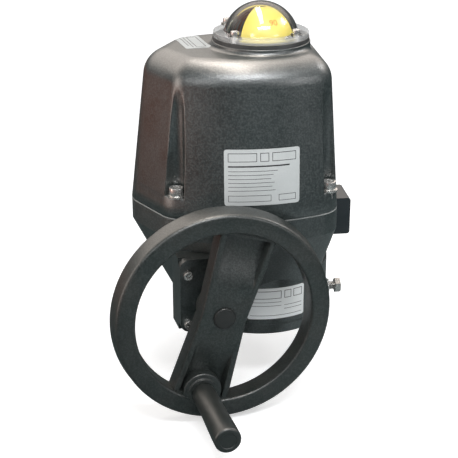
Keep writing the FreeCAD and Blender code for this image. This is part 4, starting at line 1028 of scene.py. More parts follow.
@dataclass
class Cover:
    """The cast cover: a drafted bell with a crowned top and four screw pockets.

    It is drawn as rings of distances from the output axis, one for each of the same rays.
    """

    plan: PlanOutline = PlanOutline()
    low: float = 122.0
    lip: float = 0.5
    top: float = 266.0
    crown: float = 22.0
    crown_scale: float = 0.865
    wall: float = 5.0
    roof: float = 7.0
    inside_crown: float = 14.0
    straight_top: float = 133.2
    seat: float = 141.2
    seat_gap: float = 0.4
    pocket_top: float = 243.0
    pocket_end: float = 240.0
    pocket_radius: float = 9.6
    pocket_top_radius: float = 7.6
    pocket_depth: float = 26.0
    pocket_mouth: float = 0.6
    pocket_view: float = 0.2
    depth_steps: int = 500
    pocket_fade: float = 18.0
    pillar: float = 4.0
    screw_spots: tuple[Spot, ...] = ((-86.0, -61.0), (56.0, -61.0), (56.0, 61.0), (-86.0, 61.0))
    boss: float = 46.0
    boss_top: float = 271.5
    boss_edge: float = 0.8
    boss_fillet: float = 4.2
    bore: float = 33.5
    edge: float = 0.9
    ray_step: float = 1.25
    fine_step: float = 0.3
    fine_half: float = 9.0
    wall_rings: int = 30
    bend_rings: int = 25
    top_rings: int = 34
    fillet_rings: int = 8
    edge_rings: int = 5
    inside_bend_rings: int = 8
    inside_rings: int = 12
    inside_gap: float = 4.0
    crease: float = 62.0

    # The pockets' floor: how far below the seat, and how far in from the wall at most.
    FLOOR_STEPS: ClassVar[tuple[Spot, ...]] = ((0.9, 0.0), (0.35, 0.2), (0.0, 1.0), (0.0, 40.0))

    def rays(self) -> np.ndarray:
        """Chooses the rays that the bell is drawn on, closer together at the pockets.

        Returns:
            The rays' angles.
        """
        rays = list(np.arange(0, math.tau, math.radians(self.ray_step)))
        fan = np.radians(np.arange(-self.fine_half, self.fine_half + 0.01, self.fine_step))
        for x, y in self.screw_spots:
            rays.extend(math.atan2(y, x) + fan)
        rays = np.sort(np.array(rays) % math.tau)
        keep = np.diff(rays, append=rays[0] + math.tau) > math.radians(self.fine_step / 3)
        return rays[keep]

    def section(self, rays: np.ndarray, height: float, inset: float) -> np.ndarray:
        """Gives the bell's distance along each ray at a height and an inset, with no pockets."""
        scale = 1 - (1 - self.crown_scale) * (height - self.low) / (self.top - self.low)
        return self.plan.radii(rays, inset / scale, scale)

    def carved(self, rays: np.ndarray, plain: np.ndarray, radius: float) -> np.ndarray:
        """Cuts the four pockets into a section, with rounded edges.

        Args:
            rays: The rays' angles.
            plain: The section's distances with no pockets.
            radius: The pockets' radius at this height.

        Returns:
            The section's distances with the pockets.
        """
        depth = np.linspace(-self.pocket_depth, self.pocket_mouth, self.depth_steps)
        slope = np.gradient(plain, rays) / plain
        square = 1 / np.sqrt(1 + slope**2)
        result = plain.copy()
        for x, y in self.screw_spots:
            middle = math.atan2(y, x)
            away = np.abs((rays - middle + math.pi) % math.tau - math.pi)
            near = np.flatnonzero(away < self.pocket_view)
            reach = plain[near, None] + depth[None, :]
            wall = depth[None, :] * square[near, None]
            across = reach * np.cos(rays[near, None]) - x
            along = reach * np.sin(rays[near, None]) - y
            hollow = radius - np.hypot(across, along)
            overlap = np.maximum(self.edge - np.abs(wall - hollow), 0)
            solid = np.maximum(wall, hollow) + overlap**2 / (4 * self.edge)
            first = np.argmax(solid > 0, axis=1)
            result[near] = np.minimum(result[near], plain[near] + depth[first])
        return result

    def lifted(self, rays: np.ndarray, rings: Iterable[tuple[np.ndarray, object]]) -> list:
        """Turns distances along the rays into rings of points.

        Args:
            rays: The rays' angles.
            rings: Each ring's distances and its height, or its heights by ray.

        Returns:
            The rings of points.
        """
        laid = []
        for far, height in rings:
            level = np.broadcast_to(height, far.shape)
            laid.append(list(zip(far * np.cos(rays), far * np.sin(rays), level)))
        return laid

    def outer_rings(self, rays: np.ndarray) -> list:
        """Draws the bell's outside, from the open edge up to the crown's bend.

        Args:
            rays: The rays' angles.

        Returns:
            The rings of points.
        """
        rings = []
        straight, bend = self.low + self.lip, self.top - self.crown
        for height, inset in ((self.low, self.lip), (straight, 0), (self.straight_top, 0)):
            rings.append((self.section(rays, height, inset), height))
        plain = self.section(rays, self.seat, 0)
        floor = self.carved(rays, plain, self.pocket_radius)
        for drop, most in self.FLOOR_STEPS:
            rings.append((np.maximum(floor, plain - most), self.seat - drop))
        for height in np.linspace(self.seat + self.seat_gap, bend, self.wall_rings):
            share = (height - self.seat) / (self.pocket_top - self.seat)
            radius = self.pocket_radius + (self.pocket_top_radius - self.pocket_radius) * share
            plain = self.section(rays, height, 0)
            depth = plain - self.carved(rays, plain, radius)
            fade = np.clip((self.pocket_end - height) / self.pocket_fade, 0, 1)
            rings.append((plain - depth * math.sqrt(fade), height))
        return self.lifted(rays, rings)

    def crown_curve(self, rays: np.ndarray) -> tuple[np.ndarray, np.ndarray]:
        """Draws the crown on every ray, from the wall's bend in to the output axis.

        Args:
            rays: The rays' angles.

        Returns:
            Distances by step and ray, and the height of each step.
        """
        turns = np.linspace(0, QUARTER, self.bend_rings)
        heights = self.top - self.crown + self.crown * np.sin(turns)
        insets = self.crown * (1 - np.cos(turns))
        far = [self.section(rays, height, inset) for height, inset in zip(heights, insets)]
        return np.array([*far, np.zeros_like(rays)]), np.array([*heights, self.top])

    def crown_rings(self, rays: np.ndarray) -> list:
        """Draws the crown, the window's boss and its bore.

        Args:
            rays: The rays' angles.

        Returns:
            The rings of points.
        """
        far, rise = self.crown_curve(rays)
        foot, steps = self.boss + self.boss_fillet, self.top_rings
        ring_far = np.zeros((steps, len(rays)))
        ring_high = np.zeros((steps, len(rays)))
        for ray, run in enumerate(far.T):
            keep = run > foot
            out = np.append(run[keep], foot)
            up = np.append(rise[keep], np.interp(foot, run[::-1], rise[::-1]))
            length = np.append(0, np.cumsum(np.hypot(np.diff(out), np.diff(up))))
            along = np.linspace(0, length[-1], steps)
            ring_far[:, ray] = np.interp(along, length, out)
            ring_high[:, ray] = np.interp(along, length, up)
        rings = list(zip(ring_far[1:], ring_high[1:]))
        full = np.ones_like(rays)
        for turn in np.linspace(0, QUARTER, self.fillet_rings)[1:]:
            climb = self.boss_fillet * (1 - math.cos(turn))
            radius = foot - self.boss_fillet * math.sin(turn)
            rings.append((full * radius, ring_high[-1] + climb))
        for turn in np.linspace(0, QUARTER, self.edge_rings):
            radius = self.boss - self.boss_edge * (1 - math.cos(turn))
            rings.append((full * radius, self.boss_top - self.boss_edge * (1 - math.sin(turn))))
        rings.append((full * (self.bore + self.lip), self.boss_top))
        rings.append((full * self.bore, self.boss_top - self.lip))
        return self.lifted(rays, rings)

    def inner_rings(self, rays: np.ndarray) -> list:
        """Draws the bell's inside, from the window bore out and down to the open edge.

        Args:
            rays: The rays' angles.

        Returns:
            The rings of points.
        """
        roof = self.top - self.roof
        bend = roof - self.inside_crown
        rings = [(np.full_like(rays, self.bore), roof)]
        for turn in np.linspace(QUARTER, 0, self.inside_bend_rings):
            height = bend + self.inside_crown * math.sin(turn)
            inset = self.wall + self.inside_crown * (1 - math.cos(turn))
            plain = self.section(rays, height, inset)
            rings.append((np.maximum(plain, self.bore + 1), height))
        for height in np.linspace(bend - self.inside_gap, self.low, self.inside_rings):
            plain = self.section(rays, height, self.wall)
            pillar = self.carved(rays, plain, self.pocket_radius + self.pillar)
            rings.append((pillar, height))
        return self.lifted(rays, rings)

    def build(self) -> bpy.types.Object:
        """Builds and dresses the cover.

        Returns:
            The cover's piece.
        """
        rays = self.rays()
        rings = [*self.outer_rings(rays), *self.crown_rings(rays), *self.inner_rings(rays)]
        shape = Shape()
        shape.skin(rings, hoop=True)
        shell = shape.object("cover_shell")
        nodes = ["cover"]
        return finish_piece(shell, Slot.COVER_PAINT, Body.HOUSING, nodes, crease=self.crease)


# Fasteners


@dataclass(frozen=True)
class ScrewSet:
    """Socket head cap screws on the corners of a rectangle, made by Geometry Nodes."""

    name: str
    stands_for: str
    spread: Spot
    centre: Point
    head_radius: float
    shank_radius: float
    shank_length: float
    place: Matrix = UPRIGHT
    head_sides: int = 48
    socket_sides: int = 6
    shank_sides: int = 24
    socket_share: float = 0.87
    edge: float = 0.35

    SIZES: ClassVar[tuple[str, ...]] = (
        "Spread X",
        "Spread Y",
        "Head Radius",
        "Head Height",
        "Socket Radius",
        "Shank Radius",
        "Shank Length",
    )
    SOCKET_LIFT: ClassVar[float] = 0.95
    OVERLAP: ClassVar[float] = 0.0001

    def tree(self) -> bpy.types.NodeTree:
        """Builds the tree that lays out the screws, at its first use.

        Returns:
            The Geometry Nodes tree.
        """
        found = bpy.data.node_groups.get("cap_screws")
        if found:
            return found
        graph = open_tree("cap_screws", self.SIZES)
        sizes = graph.add("NodeGroupInput").outputs

        def rod(sides: int, radius: Socket, length: Socket, lift: Socket) -> Socket:
            """Adds an upright rod.

            Args:
                sides: How many sides it has.
                radius: Its radius.
                length: Its length.
                lift: The height of its middle.

            Returns:
                The rod's socket.
            """
            size = {"Vertices": sides, "Radius": radius, "Depth": length}
            made = graph.add("GeometryNodeMeshCylinder", size).outputs[0]
            where = graph.add("ShaderNodeCombineXYZ", {"Z": lift}).outputs[0]
            move = {"Geometry": made, "Translation": where}
            return graph.add("GeometryNodeTransform", move).outputs[0]

        tall, long = sizes["Head Height"], sizes["Shank Length"]
        middle = graph.math("MULTIPLY", tall, 0.5)
        head = rod(self.head_sides, sizes["Head Radius"], tall, middle)
        lift = graph.math("MULTIPLY", tall, self.SOCKET_LIFT)
        socket = rod(self.socket_sides, sizes["Socket Radius"], tall, lift)
        solids = {"Mesh 1": head, "Mesh 2": socket}
        socketed = graph.add("GeometryNodeMeshBoolean", solids, operation="DIFFERENCE")
        drop = graph.math("ADD", graph.math("MULTIPLY", long, -0.5), self.OVERLAP)
        shank = rod(self.shank_sides, sizes["Shank Radius"], long, drop)
        screw = graph.add("GeometryNodeJoinGeometry")
        for part in (socketed.outputs[0], shank):
            graph.tree.links.new(part, screw.inputs[0])
        corners = {"Size X": sizes["Spread X"], "Size Y": sizes["Spread Y"]}
        corners |= {"Vertices X": 2, "Vertices Y": 2}
        spots = graph.add("GeometryNodeMeshGrid", corners)
        layout = {"Points": spots.outputs[0], "Instance": screw.outputs[0]}
        laid = graph.add("GeometryNodeInstanceOnPoints", layout)
        return close_tree(graph, laid.outputs[0], sizes["Finish"])

    def build(self) -> bpy.types.Object:
        """Makes the screws as one plain mesh on the housing.

        Returns:
            The screws' piece.
        """
        tree = self.tree()
        thing = Shape().object(self.name)
        head = (self.head_radius, self.shank_radius * 2, self.shank_radius * self.socket_share)
        sizes = (*self.spread, *head, self.shank_radius, self.shank_length)
        values = {name: size * MM for name, size in zip(self.SIZES, sizes)}
        run_tree(thing, tree, {**values, "Finish": STAINLESS.material()})
        place = self.place @ Matrix.Translation(self.centre)
        place.translation *= MM
        thing.data.transform(place)
        soften(thing, self.edge)
        return finish_piece(thing, Slot.STAINLESS, Body.HOUSING, [self.stands_for])


@dataclass(frozen=True)
class StopScrew:
    """A hexagon head stop screw with its lock nut, drawn along Z from its tip."""

    place: Matrix
    nut_at: float
    head_at: float
    thread: float = 4.0
    thread_depth: float = 0.62
    tip_length: float = 0.6
    tip_chamfer: float = 0.9
    end_chamfer: float = 0.5
    end_sink: float = 0.4
    flats: float = 13.0
    head_thickness: float = 5.3
    nut_thickness: float = 6.5
    nut_turn: float = 0.2
    pitch: float = 1.25
    sides: int = 28
    rings_per_turn: int = 6
    facets: int = 72

    # Each chamfer's heights, with the share of the corner's reach that is left there.
    UNDERSIDE: ClassVar[tuple[Spot, ...]] = ((0.0, 1.0),)
    CHAMFERED_UNDERSIDE: ClassVar[tuple[Spot, ...]] = ((0.0, 0.97), (0.5, 1.0))
    FACE: ClassVar[tuple[Spot, ...]] = ((0.9, 1.0), (0.45, 0.955), (0.0, 0.89))

    def hexagon(self, shape: Shape, low: float, thickness: float, nut: bool) -> None:
        """Adds a hexagon with chamfered corners.

        Args:
            shape: The shape that takes it.
            low: The height of its underside.
            thickness: Its thickness.
            nut: Whether it is the nut, which is turned a little and chamfered on both faces.
        """
        turn = self.nut_turn if nut else 0.0
        corner = self.flats / math.sqrt(3)
        angles = [turn + math.tau * step / self.facets for step in range(self.facets)]
        flat = [self.flats / 2 / math.cos((a - turn) % (math.pi / 3) - math.pi / 6) for a in angles]
        under = self.CHAMFERED_UNDERSIDE if nut else self.UNDERSIDE
        rings = []
        for height, share in (*under, *((thickness - drop, share) for drop, share in self.FACE)):
            reach = [min(side, corner * share) for side in flat]
            ring = [(r * math.cos(a), r * math.sin(a), low + height) for r, a in zip(reach, angles)]
            rings.append(ring)
        shape.skin(rings, self.place)

    def threads(self, shape: Shape) -> None:
        """Adds the threaded rod from its tip to the head.

        Args:
            shape: The shape that takes it.
        """
        rings = [circle(self.thread - self.tip_chamfer, 0, self.sides)]
        steps = int((self.head_at - 1) / self.pitch * self.rings_per_turn)
        for step in range(steps + 1):
            height = self.tip_length + step * self.pitch / self.rings_per_turn
            ring = []
            for side in range(self.sides):
                angle = math.tau * side / self.sides
                phase = (height / self.pitch - side / self.sides) % 1
                radius = self.thread - self.thread_depth * abs(2 * phase - 1)
                ring.append((radius * math.cos(angle), radius * math.sin(angle), height))
            rings.append(ring)
        end = self.head_at + self.end_sink
        rings.append(circle(self.thread - self.end_chamfer, end, self.sides))
        shape.skin(rings, self.place)

    def add_to(self, shape: Shape) -> None:
        """Adds rod, nut and head to a shape.

        Args:
            shape: The shape that takes them.
        """
        self.threads(shape)
        self.hexagon(shape, self.nut_at, self.nut_thickness, nut=True)
        self.hexagon(shape, self.head_at, self.head_thickness, nut=False)


@dataclass(frozen=True)
class StopScrews:
    """The two stop screws, one out of the right side and one out of the back."""

    height: float = 33.5
    offset: float = 38.0
    tip: float = 6.5
    right_nut: float = 50.5
    back_nut: float = 56.0
    head_gap: float = 12.5
    crease: float = 24.0

    def build(self) -> bpy.types.Object:
        """Builds both screws with their lock nuts.

        Returns:
            The piece.
        """
        shape = Shape()
        to_right = Matrix.Translation((self.tip, -self.offset, self.height))
        to_right @= Euler((0, QUARTER, 0)).to_matrix().to_4x4()
        to_back = Matrix.Translation((-self.offset, self.tip, self.height))
        to_back @= Euler((-QUARTER, 0, 0)).to_matrix().to_4x4()
        for place, nut_at in ((to_right, self.right_nut), (to_back, self.back_nut)):
            StopScrew(place, nut_at, nut_at + self.head_gap).add_to(shape)
        thing = shape.object("stop_screw_pair")
        nodes = ["stop_screws", "stop_lock_nuts"]
        return finish_piece(
            thing, Slot.STAINLESS, Body.HOUSING, nodes, STOP_SCREW_STEEL, self.crease
        )


# Handwheel


# The worm line is turned in plan about the output axis, and the handwheel faces the user.
SKEW = math.radians(8.5)
CENTRE_DISTANCE = 67.3
WORM_HEIGHT = 47.2
BACK_OF_WHEEL = 98.0
BAR_TURN = math.radians(-17.0)
CRANK_CIRCLE = 74.0
WORM_LINE = Matrix.Rotation(SKEW, 4, "Z") @ Matrix.Translation((-CENTRE_DISTANCE, 0, WORM_HEIGHT))
FACING_USER = Matrix.Translation((0, -BACK_OF_WHEEL, 0)) @ Matrix.Rotation(QUARTER, 4, "X")
WHEEL = WORM_LINE @ FACING_USER
BAR = WHEEL @ Matrix.Rotation(BAR_TURN, 4, "Z")
CRANK = BAR @ Matrix.Translation((0, -CRANK_CIRCLE, 0))


@dataclass
class Handwheel:
    """The handwheel: a rim, a channel bar across it, a hub and the crank's boss."""

    rim_back: float = 102.5
    rim_front: float = 99.5
    rim_inside: float = 82.0
    rim_edge: float = 4.0
    rim_inner_edge: float = 2.5
    rim_sides: int = 192
    rim_edge_steps: int = 6
    depth: float = 22.0
    bar_end: float = 27.0
    bar_waist: float = 21.5
    bar_back: float = -1.0
    bar_front: float = 18.5
    bar_edge: float = 2.0
    bar_edge_steps: int = 5
    bar_edge_angle: float = 40.0
    bar_reach: float = 85.0
    bar_widest_at: float = 84.0
    bar_steps: int = 8
    flange: float = 6.0
    trough_start: float = 24.0
    trough_end: float = 78.0
    trough_ramp: float = 0.8
    trough_floor: float = 9.0
    trough_rows: int = 19
    hub: float = 19.0
    hub_back: float = -14.0
    hub_front: float = 5.0
    hub_edge: float = 1.5
    shaft: float = 8.0
    boss: float = 18.0
    boss_back: float = -0.8
    boss_front: float = 23.0
    boss_foot_edge: float = 1.0
    boss_edge: float = 1.4
    collar: float = 13.4
    collar_height: float = 1.8
    collar_edge: float = 0.6
    cap: float = 10.3
    cap_height: float = 3.0
    cap_edge: float = 1.8
    cap_rise: float = 0.4
    cap_sides: int = 64
    crease: float = 30.0
    bite: float = 0.3

    # The trough's floor ends this far in from its side, in two steps.
    FLOOR_INSETS: ClassVar[Spot] = (1.6, 0.5)

    # The trough's brim: how far out of its side, how far over its floor, how far over the face.
    BRIM: ClassVar[tuple[Point, ...]] = ((0.0, 0.1, -1.5), (0.4, 0.2, -0.5), (1.4, 0.3, 0.05))
    CLEAR_OF_FACE: ClassVar[float] = 3.0

    def rim(self, shape: Shape) -> None:
        """Adds the rim.

        Args:
            shape: The shape that takes it.
        """
        corners = [
            (self.rim_inside, 0.0, self.rim_inner_edge),
            (self.rim_back, 0.0, self.rim_edge),
            (self.rim_front, self.depth, self.rim_edge),
            (self.rim_inside, self.depth, self.rim_inner_edge),
        ]
        shape.revolve(rounded(corners, self.rim_edge_steps), WHEEL, self.rim_sides, hoop=True)

    def trough(self, way: int) -> Shape:
        """Makes the hollow of one end of the bar, whose floor climbs towards the hub.

        Args:
            way: 1 for the far end and -1 for the crank's.

        Returns:
            The hollow's shape.
        """
        face, brim = self.bar_front, self.bar_front + self.bite
        rows = []
        for share in np.linspace(0, 1, self.trough_rows):
            along = self.trough_start + (self.trough_end - self.trough_start) * share
            climb = min(1, share / self.trough_ramp)
            floor = brim - (brim - self.trough_floor) * climb**2 * (3 - 2 * climb)
            widening = (self.bar_end - self.bar_waist) * along / self.bar_widest_at
            half = self.bar_waist + widening - self.flange
            side = [(half - inset, floor) for inset in self.FLOOR_INSETS]
            side += [(half + out, max(floor + up, face + over)) for out, up, over in self.BRIM]
            side += [(half + self.BRIM[-1][0], face + self.CLEAR_OF_FACE)]
            loop = [*side, *((-x, z) for x, z in reversed(side))]
            rows.append([(x * way, along * way, z) for x, z in loop])
        hollow = Shape()
        hollow.skin(rows, BAR)
        return hollow

    def bar(self) -> bpy.types.Object:
        """Builds the bar with a trough at each end and softened edges.

        Returns:
            The bar.
        """
        across = np.linspace(self.bar_end, -self.bar_end, 2 * self.bar_steps + 1)
        upper = [(x, math.sqrt(self.bar_reach**2 - x**2)) for x in across]
        lower = [(-x, -y) for x, y in upper]
        outline = [(self.bar_waist, 0.0), *upper, (-self.bar_waist, 0.0), *lower]
        blank = Shape()
        blank.prism(outline, self.bar_back, self.bar_front, BAR)
        bar = blank.object("wheel_bar")
        soften(bar, self.bar_edge, self.bar_edge_steps, self.bar_edge_angle)
        for name, way in (("far_trough", 1), ("crank_trough", -1)):
            unite(bar, self.trough(way).object(name), Cut.TAKE)
        return bar

    def hub_and_boss(self, shape: Shape) -> None:
        """Adds the hub and the crank's boss.

        Args:
            shape: The shape that takes them.
        """
        front = (self.hub, self.hub_front)
        back = (self.hub, self.hub_back, self.hub_edge)
        hub = rounded([(self.shaft, self.hub_back), back, front])
        shape.revolve([*hub, (self.shaft, self.hub_front)], WHEEL, hoop=True)
        step = self.boss_front - self.collar_height
        boss = [
            (0.0, self.boss_back),
            (self.boss, self.boss_back, self.boss_foot_edge),
            (self.boss, step, self.boss_edge),
            (self.collar, step, self.collar_edge),
            (self.collar, self.boss_front, self.collar_edge),
            (0.0, self.boss_front),
        ]
        shape.revolve(rounded(boss), CRANK)

    def build(self) -> bpy.types.Object:
        """Builds the whole wheel and its hub cap.

        Returns:
            The wheel's piece.
        """
        wheel = Shape()
        self.rim(wheel)
        self.hub_and_boss(wheel)
        thing = join_pieces([wheel.object("handwheel_body"), self.bar()], "handwheel_body")
        nodes = ["handwheel"]
        finish_piece(thing, Slot.WHEEL_PLASTIC, Body.WORM_LINE, nodes, crease=self.crease)
        seat, face = self.bar_front - self.bite, self.bar_front + self.cap_height
        edge = (self.cap, face - self.cap_rise, self.cap_edge)
        dome = [(0, seat), (self.cap, seat), edge, (0, face)]
        cap = Shape()
        cap.revolve(rounded(dome), WHEEL, self.cap_sides)
        finish_piece(cap.object("hub_cap"), Slot.CAP_PLASTIC, Body.WORM_LINE, ["handwheel_cap"])
        return thing


@dataclass
class CrankGrip:
    """The revolving grip on the crank's spindle."""

    low: float = 25.0
    length: float = 84.0
    radius: float = 12.0
    foot: float = 10.6
    foot_edge: float = 0.8
    neck: float = 11.1
    neck_at: float = 8.0
    neck_bend: float = 6.0
    waist: float = 11.0
    waist_at: float = 33.6
    waist_bend: float = 60.0
    swell_at: float = 70.0
    swell_bend: float = 20.0
    end_edge: float = 2.6
    dish: float = 0.7
    dish_brim: float = 7.8
    dish_foot: float = 7.0
    dish_edge: float = 0.8
    bore: float = 5.15
    bore_depth: float = 75.0
    edge_steps: int = 7
    sides: int = 72

    def build(self) -> bpy.types.Object:
        """Builds the grip.

        Returns:
            The grip's piece.
        """
        low, end = self.low, self.low + self.length
        corners = [
            (self.bore, low + self.bore_depth),
            (self.bore, low),
            (self.foot, low, self.foot_edge),
            (self.neck, low + self.neck_at, self.neck_bend),
            (self.waist, low + self.waist_at, self.waist_bend),
            (self.radius, low + self.swell_at, self.swell_bend),
            (self.radius, end, self.end_edge),
            (self.dish_brim, end, self.dish_edge),
            (self.dish_foot, end - self.dish, self.dish_edge),
            (0.0, end - self.dish),
        ]
        shape = Shape()
        shape.revolve(rounded(corners, self.edge_steps), CRANK, self.sides)
        sleeve = shape.object("grip_sleeve")
        return finish_piece(sleeve, Slot.WHEEL_PLASTIC, Body.GRIP, ["crank_grip"], GRIP_PLASTIC)


# Position window and indicator


DOME_HEIGHT = 271.4


@dataclass
class PositionWindow:
    """The clear dome over the indicator, with its flange and four screw bosses."""

    flange_low: float = 275.0
    flange_top: float = 280.0
    flange: float = 44.5
    flange_edge: float = 0.8
    flange_foot_edge: float = 0.4
    ball: float = 35.5
    ball_inside: float = 33.0
    ball_foot: float = 1.5
    ball_fillet: float = 1.2
    fillet_gap: float = 0.5
    outer_points: int = 32
    inner_points: int = 30
    boss: float = 5.5
    boss_top: float = 281.8
    boss_edge: float = 0.7
    screw_circle: float = 40.0
    hole: float = 2.2
    sides: int = 128
    boss_sides: int = 40
    frost_margin: float = 0.3

    def section(self) -> list[Spot]:
        """Draws the dome's section, from its outer pole round the flange to its inner pole.

        Returns:
            The points as (radius, height).
        """
        last = math.acos((self.flange_top + self.ball_foot - DOME_HEIGHT) / self.ball)
        level = self.flange_low + self.fillet_gap - DOME_HEIGHT
        first = math.acos(level / self.ball_inside)
        outer = dome_arc(self.ball, DOME_HEIGHT, 0, last, self.outer_points)
        flange = [
            outer[-1],
            (outer[-1][0] + self.fillet_gap, self.flange_top, self.ball_fillet),
            (self.flange, self.flange_top, self.flange_edge),
            (self.flange, self.flange_low, self.flange_foot_edge),
            (self.ball_inside, self.flange_low),
        ]
        inner = dome_arc(self.ball_inside, DOME_HEIGHT, first, 0, self.inner_points)
        return [*outer[:-1], *rounded(flange), *inner]

    def build(self) -> bpy.types.Object:
        """Builds the dome with its bosses and screw holes.

        Returns:
            The dome's piece.
        """
        dome = Shape()
        dome.revolve(self.section(), count=self.sides)
        thing = dome.object("window_dome")
        foot, top = self.flange_low + 1, self.boss_top
        boss = rounded([(0, foot), (self.boss, foot), (self.boss, top, self.boss_edge), (0, top)])
        foot, top = self.flange_low - 1, self.boss_top + 1
        hole = [(0, foot), (self.hole, foot), (self.hole, top), (0, top)]
        for cut, profile in ((Cut.JOIN, boss), (Cut.TAKE, hole)):
            tools = Shape()
            for quarter in range(4):
                angle = math.pi / 4 + quarter * QUARTER
                at = (self.screw_circle * math.cos(angle), self.screw_circle * math.sin(angle), 0)
                tools.revolve(profile, Matrix.Translation(at), self.boss_sides)
            unite(thing, tools.object("window_tools"), cut)
        finish_piece(thing, Slot.CLEAR, Body.HOUSING, ["dome_window"])
        thing.data.materials.append(FROSTED_PLASTIC.material())
        for face in thing.data.polygons:
            low = face.center.z < (self.flange_top + self.frost_margin) * MM
            if low and face.center.xy.length > self.ball * MM:
                face.material_index = 1
        return thing


@dataclass
class PositionIndicator:
    """The dark indicator dome, with fanned ribs on the two sides between its sectors."""

    low: float = 262.0
    skirt_top: float = 270.4
    radius: float = 30.2
    shell: float = 2.5
    rib_reach: float = 31.2
    rib_root: float = 1.0
    rib_thickness: float = 1.4
    rib_pitch: float = 11.0
    rib_count: int = 7
    rib_edge: float = 0.2
    rib_steps: int = 24
    pole_gap: float = 23.5
    turn: float = 8.0
    number_turn: float = 10.0
    number_rise: float = 38.0
    number_size: float = 8.0
    ink: float = 0.02
    digits: str = "90"
    sector: float = 31.43
    sides: int = 128
    outer_points: int = 32
    inner_points: int = 24
    skirt_edge: float = 0.8

    SIZES: ClassVar[tuple[str, ...]] = (
        "Radius",
        "Proud",
        "Thickness",
        "Pole Angle",
        "Pitch",
        "Start",
        "Height",
    )

    def tree(self) -> bpy.types.NodeTree:
        """Builds the tree of one fan of ribs.

        Returns:
            The Geometry Nodes tree.
        """
        graph = open_tree("rib_fan", self.SIZES, ["Count"])
        sizes = graph.add("NodeGroupInput").outputs
        sweep = graph.math("SUBTRACT", QUARTER, sizes["Pole Angle"])
        bow = {"Resolution": self.rib_steps, "Radius": sizes["Radius"], "Sweep Angle": sweep}
        arc = graph.add("GeometryNodeCurveArc", bow, mode="RADIUS").outputs[0]
        stand = {"Geometry": arc, "Rotation": (QUARTER, 0, 0)}
        upright = graph.add("GeometryNodeTransform", stand).outputs[0]
        across = {"Width": sizes["Proud"], "Height": sizes["Thickness"]}
        profile = graph.add("GeometryNodeCurvePrimitiveQuadrilateral", across).outputs[0]
        swept = {"Curve": upright, "Profile Curve": profile, "Fill Caps": True}
        blade = graph.add("GeometryNodeCurveToMesh", swept).outputs[0]
        level = graph.add("ShaderNodeCombineXYZ", {"Z": sizes["Height"]}).outputs[0]
        line = {"Count": sizes["Count"], "Start Location": level, "Offset": (0, 0, 0)}
        spots = graph.add("GeometryNodeMeshLine", line).outputs[0]
        index = graph.add("GeometryNodeInputIndex").outputs[0]
        angle = graph.math("ADD", sizes["Start"], graph.math("MULTIPLY", index, sizes["Pitch"]))
        turn = graph.add("ShaderNodeCombineXYZ", {"Z": angle}).outputs[0]
        layout = {"Points": spots, "Instance": blade, "Rotation": turn}
        fan = graph.add("GeometryNodeInstanceOnPoints", layout).outputs[0]
        return close_tree(graph, fan, sizes["Finish"])

    def ribs(self) -> None:
        """Builds both fans of ribs."""
        tree = self.tree()
        proud = self.rib_reach - self.radius + self.rib_root
        fan = self.rib_pitch * (self.rib_count - 1)
        for name, middle in (("rib_fan_right", 0.0), ("rib_fan_left", 180.0)):
            thing = Shape().object(name)
            values = {
                "Radius": (self.rib_reach - proud / 2) * MM,
                "Proud": proud * MM,
                "Thickness": self.rib_thickness * MM,
                "Pole Angle": math.asin(self.pole_gap / self.rib_reach),
                "Pitch": math.radians(self.rib_pitch),
                "Start": math.radians(middle + self.turn - fan / 2),
                "Height": DOME_HEIGHT * MM,
                "Count": self.rib_count,
                "Finish": RIB_PLASTIC.material(),
            }
            run_tree(thing, tree, values)
            soften(thing, self.rib_edge)
            finish_piece(thing, Slot.BLACK_PLASTIC, Body.OUTPUT, finish=RIB_PLASTIC)

    def number(self, name: str, facing: float) -> None:
        """Prints the plain number on a sector.

        Args:
            name: The piece's name.
            facing: The angle in degrees from the front.
        """
        curve = bpy.data.curves.new(name, "FONT")
        curve.body = self.digits
        curve.size = self.number_size
        curve.align_x = curve.align_y = "CENTER"
        curve.extrude = self.ink
        text = placed(name + "_text", curve)
        data = evaluated(text)
        bpy.data.objects.remove(text)
        rise = math.radians(self.number_rise)
        for vertex in data.vertices:
            x, y, z = vertex.co
            turn = math.radians(facing) - QUARTER + x / (self.sector * math.cos(rise))
            tilt = rise + y / self.sector
            out, up = (self.sector + z) * math.cos(tilt), (self.sector + z) * math.sin(tilt)
            vertex.co = (out * math.cos(turn), out * math.sin(turn), DOME_HEIGHT + up)
        data.transform(Matrix.Scale(MM, 4))
        finish_piece(placed(name, data), Slot.YELLOW, Body.OUTPUT, finish=DIAL_INK)

    def build(self) -> bpy.types.Object:
        """Builds the indicator dome, its ribs and its numbers.

        Returns:
            The dome's piece.
        """
        hollow = self.radius - self.shell
        outer = dome_arc(self.radius, DOME_HEIGHT, 0, QUARTER, self.outer_points)
        inner = dome_arc(hollow, DOME_HEIGHT, QUARTER, 0, self.inner_points)
        foot = (self.radius, self.low, self.skirt_edge)
        skirt = [(self.radius, self.skirt_top), foot, (hollow, self.low)]
        shape = Shape()
        shape.revolve([*outer, *rounded(skirt), *inner], count=self.sides)
        dome = shape.object("indicator_dome")
        nodes = ["indicator_hub"]
        finish_piece(dome, Slot.BLACK_PLASTIC, Body.OUTPUT, nodes, INDICATOR_PLASTIC)
        self.ribs()
        self.number("sector_number_front", self.turn + self.number_turn)
        self.number("sector_number_back", self.turn + self.number_turn + 180)
        return dome


# Labels


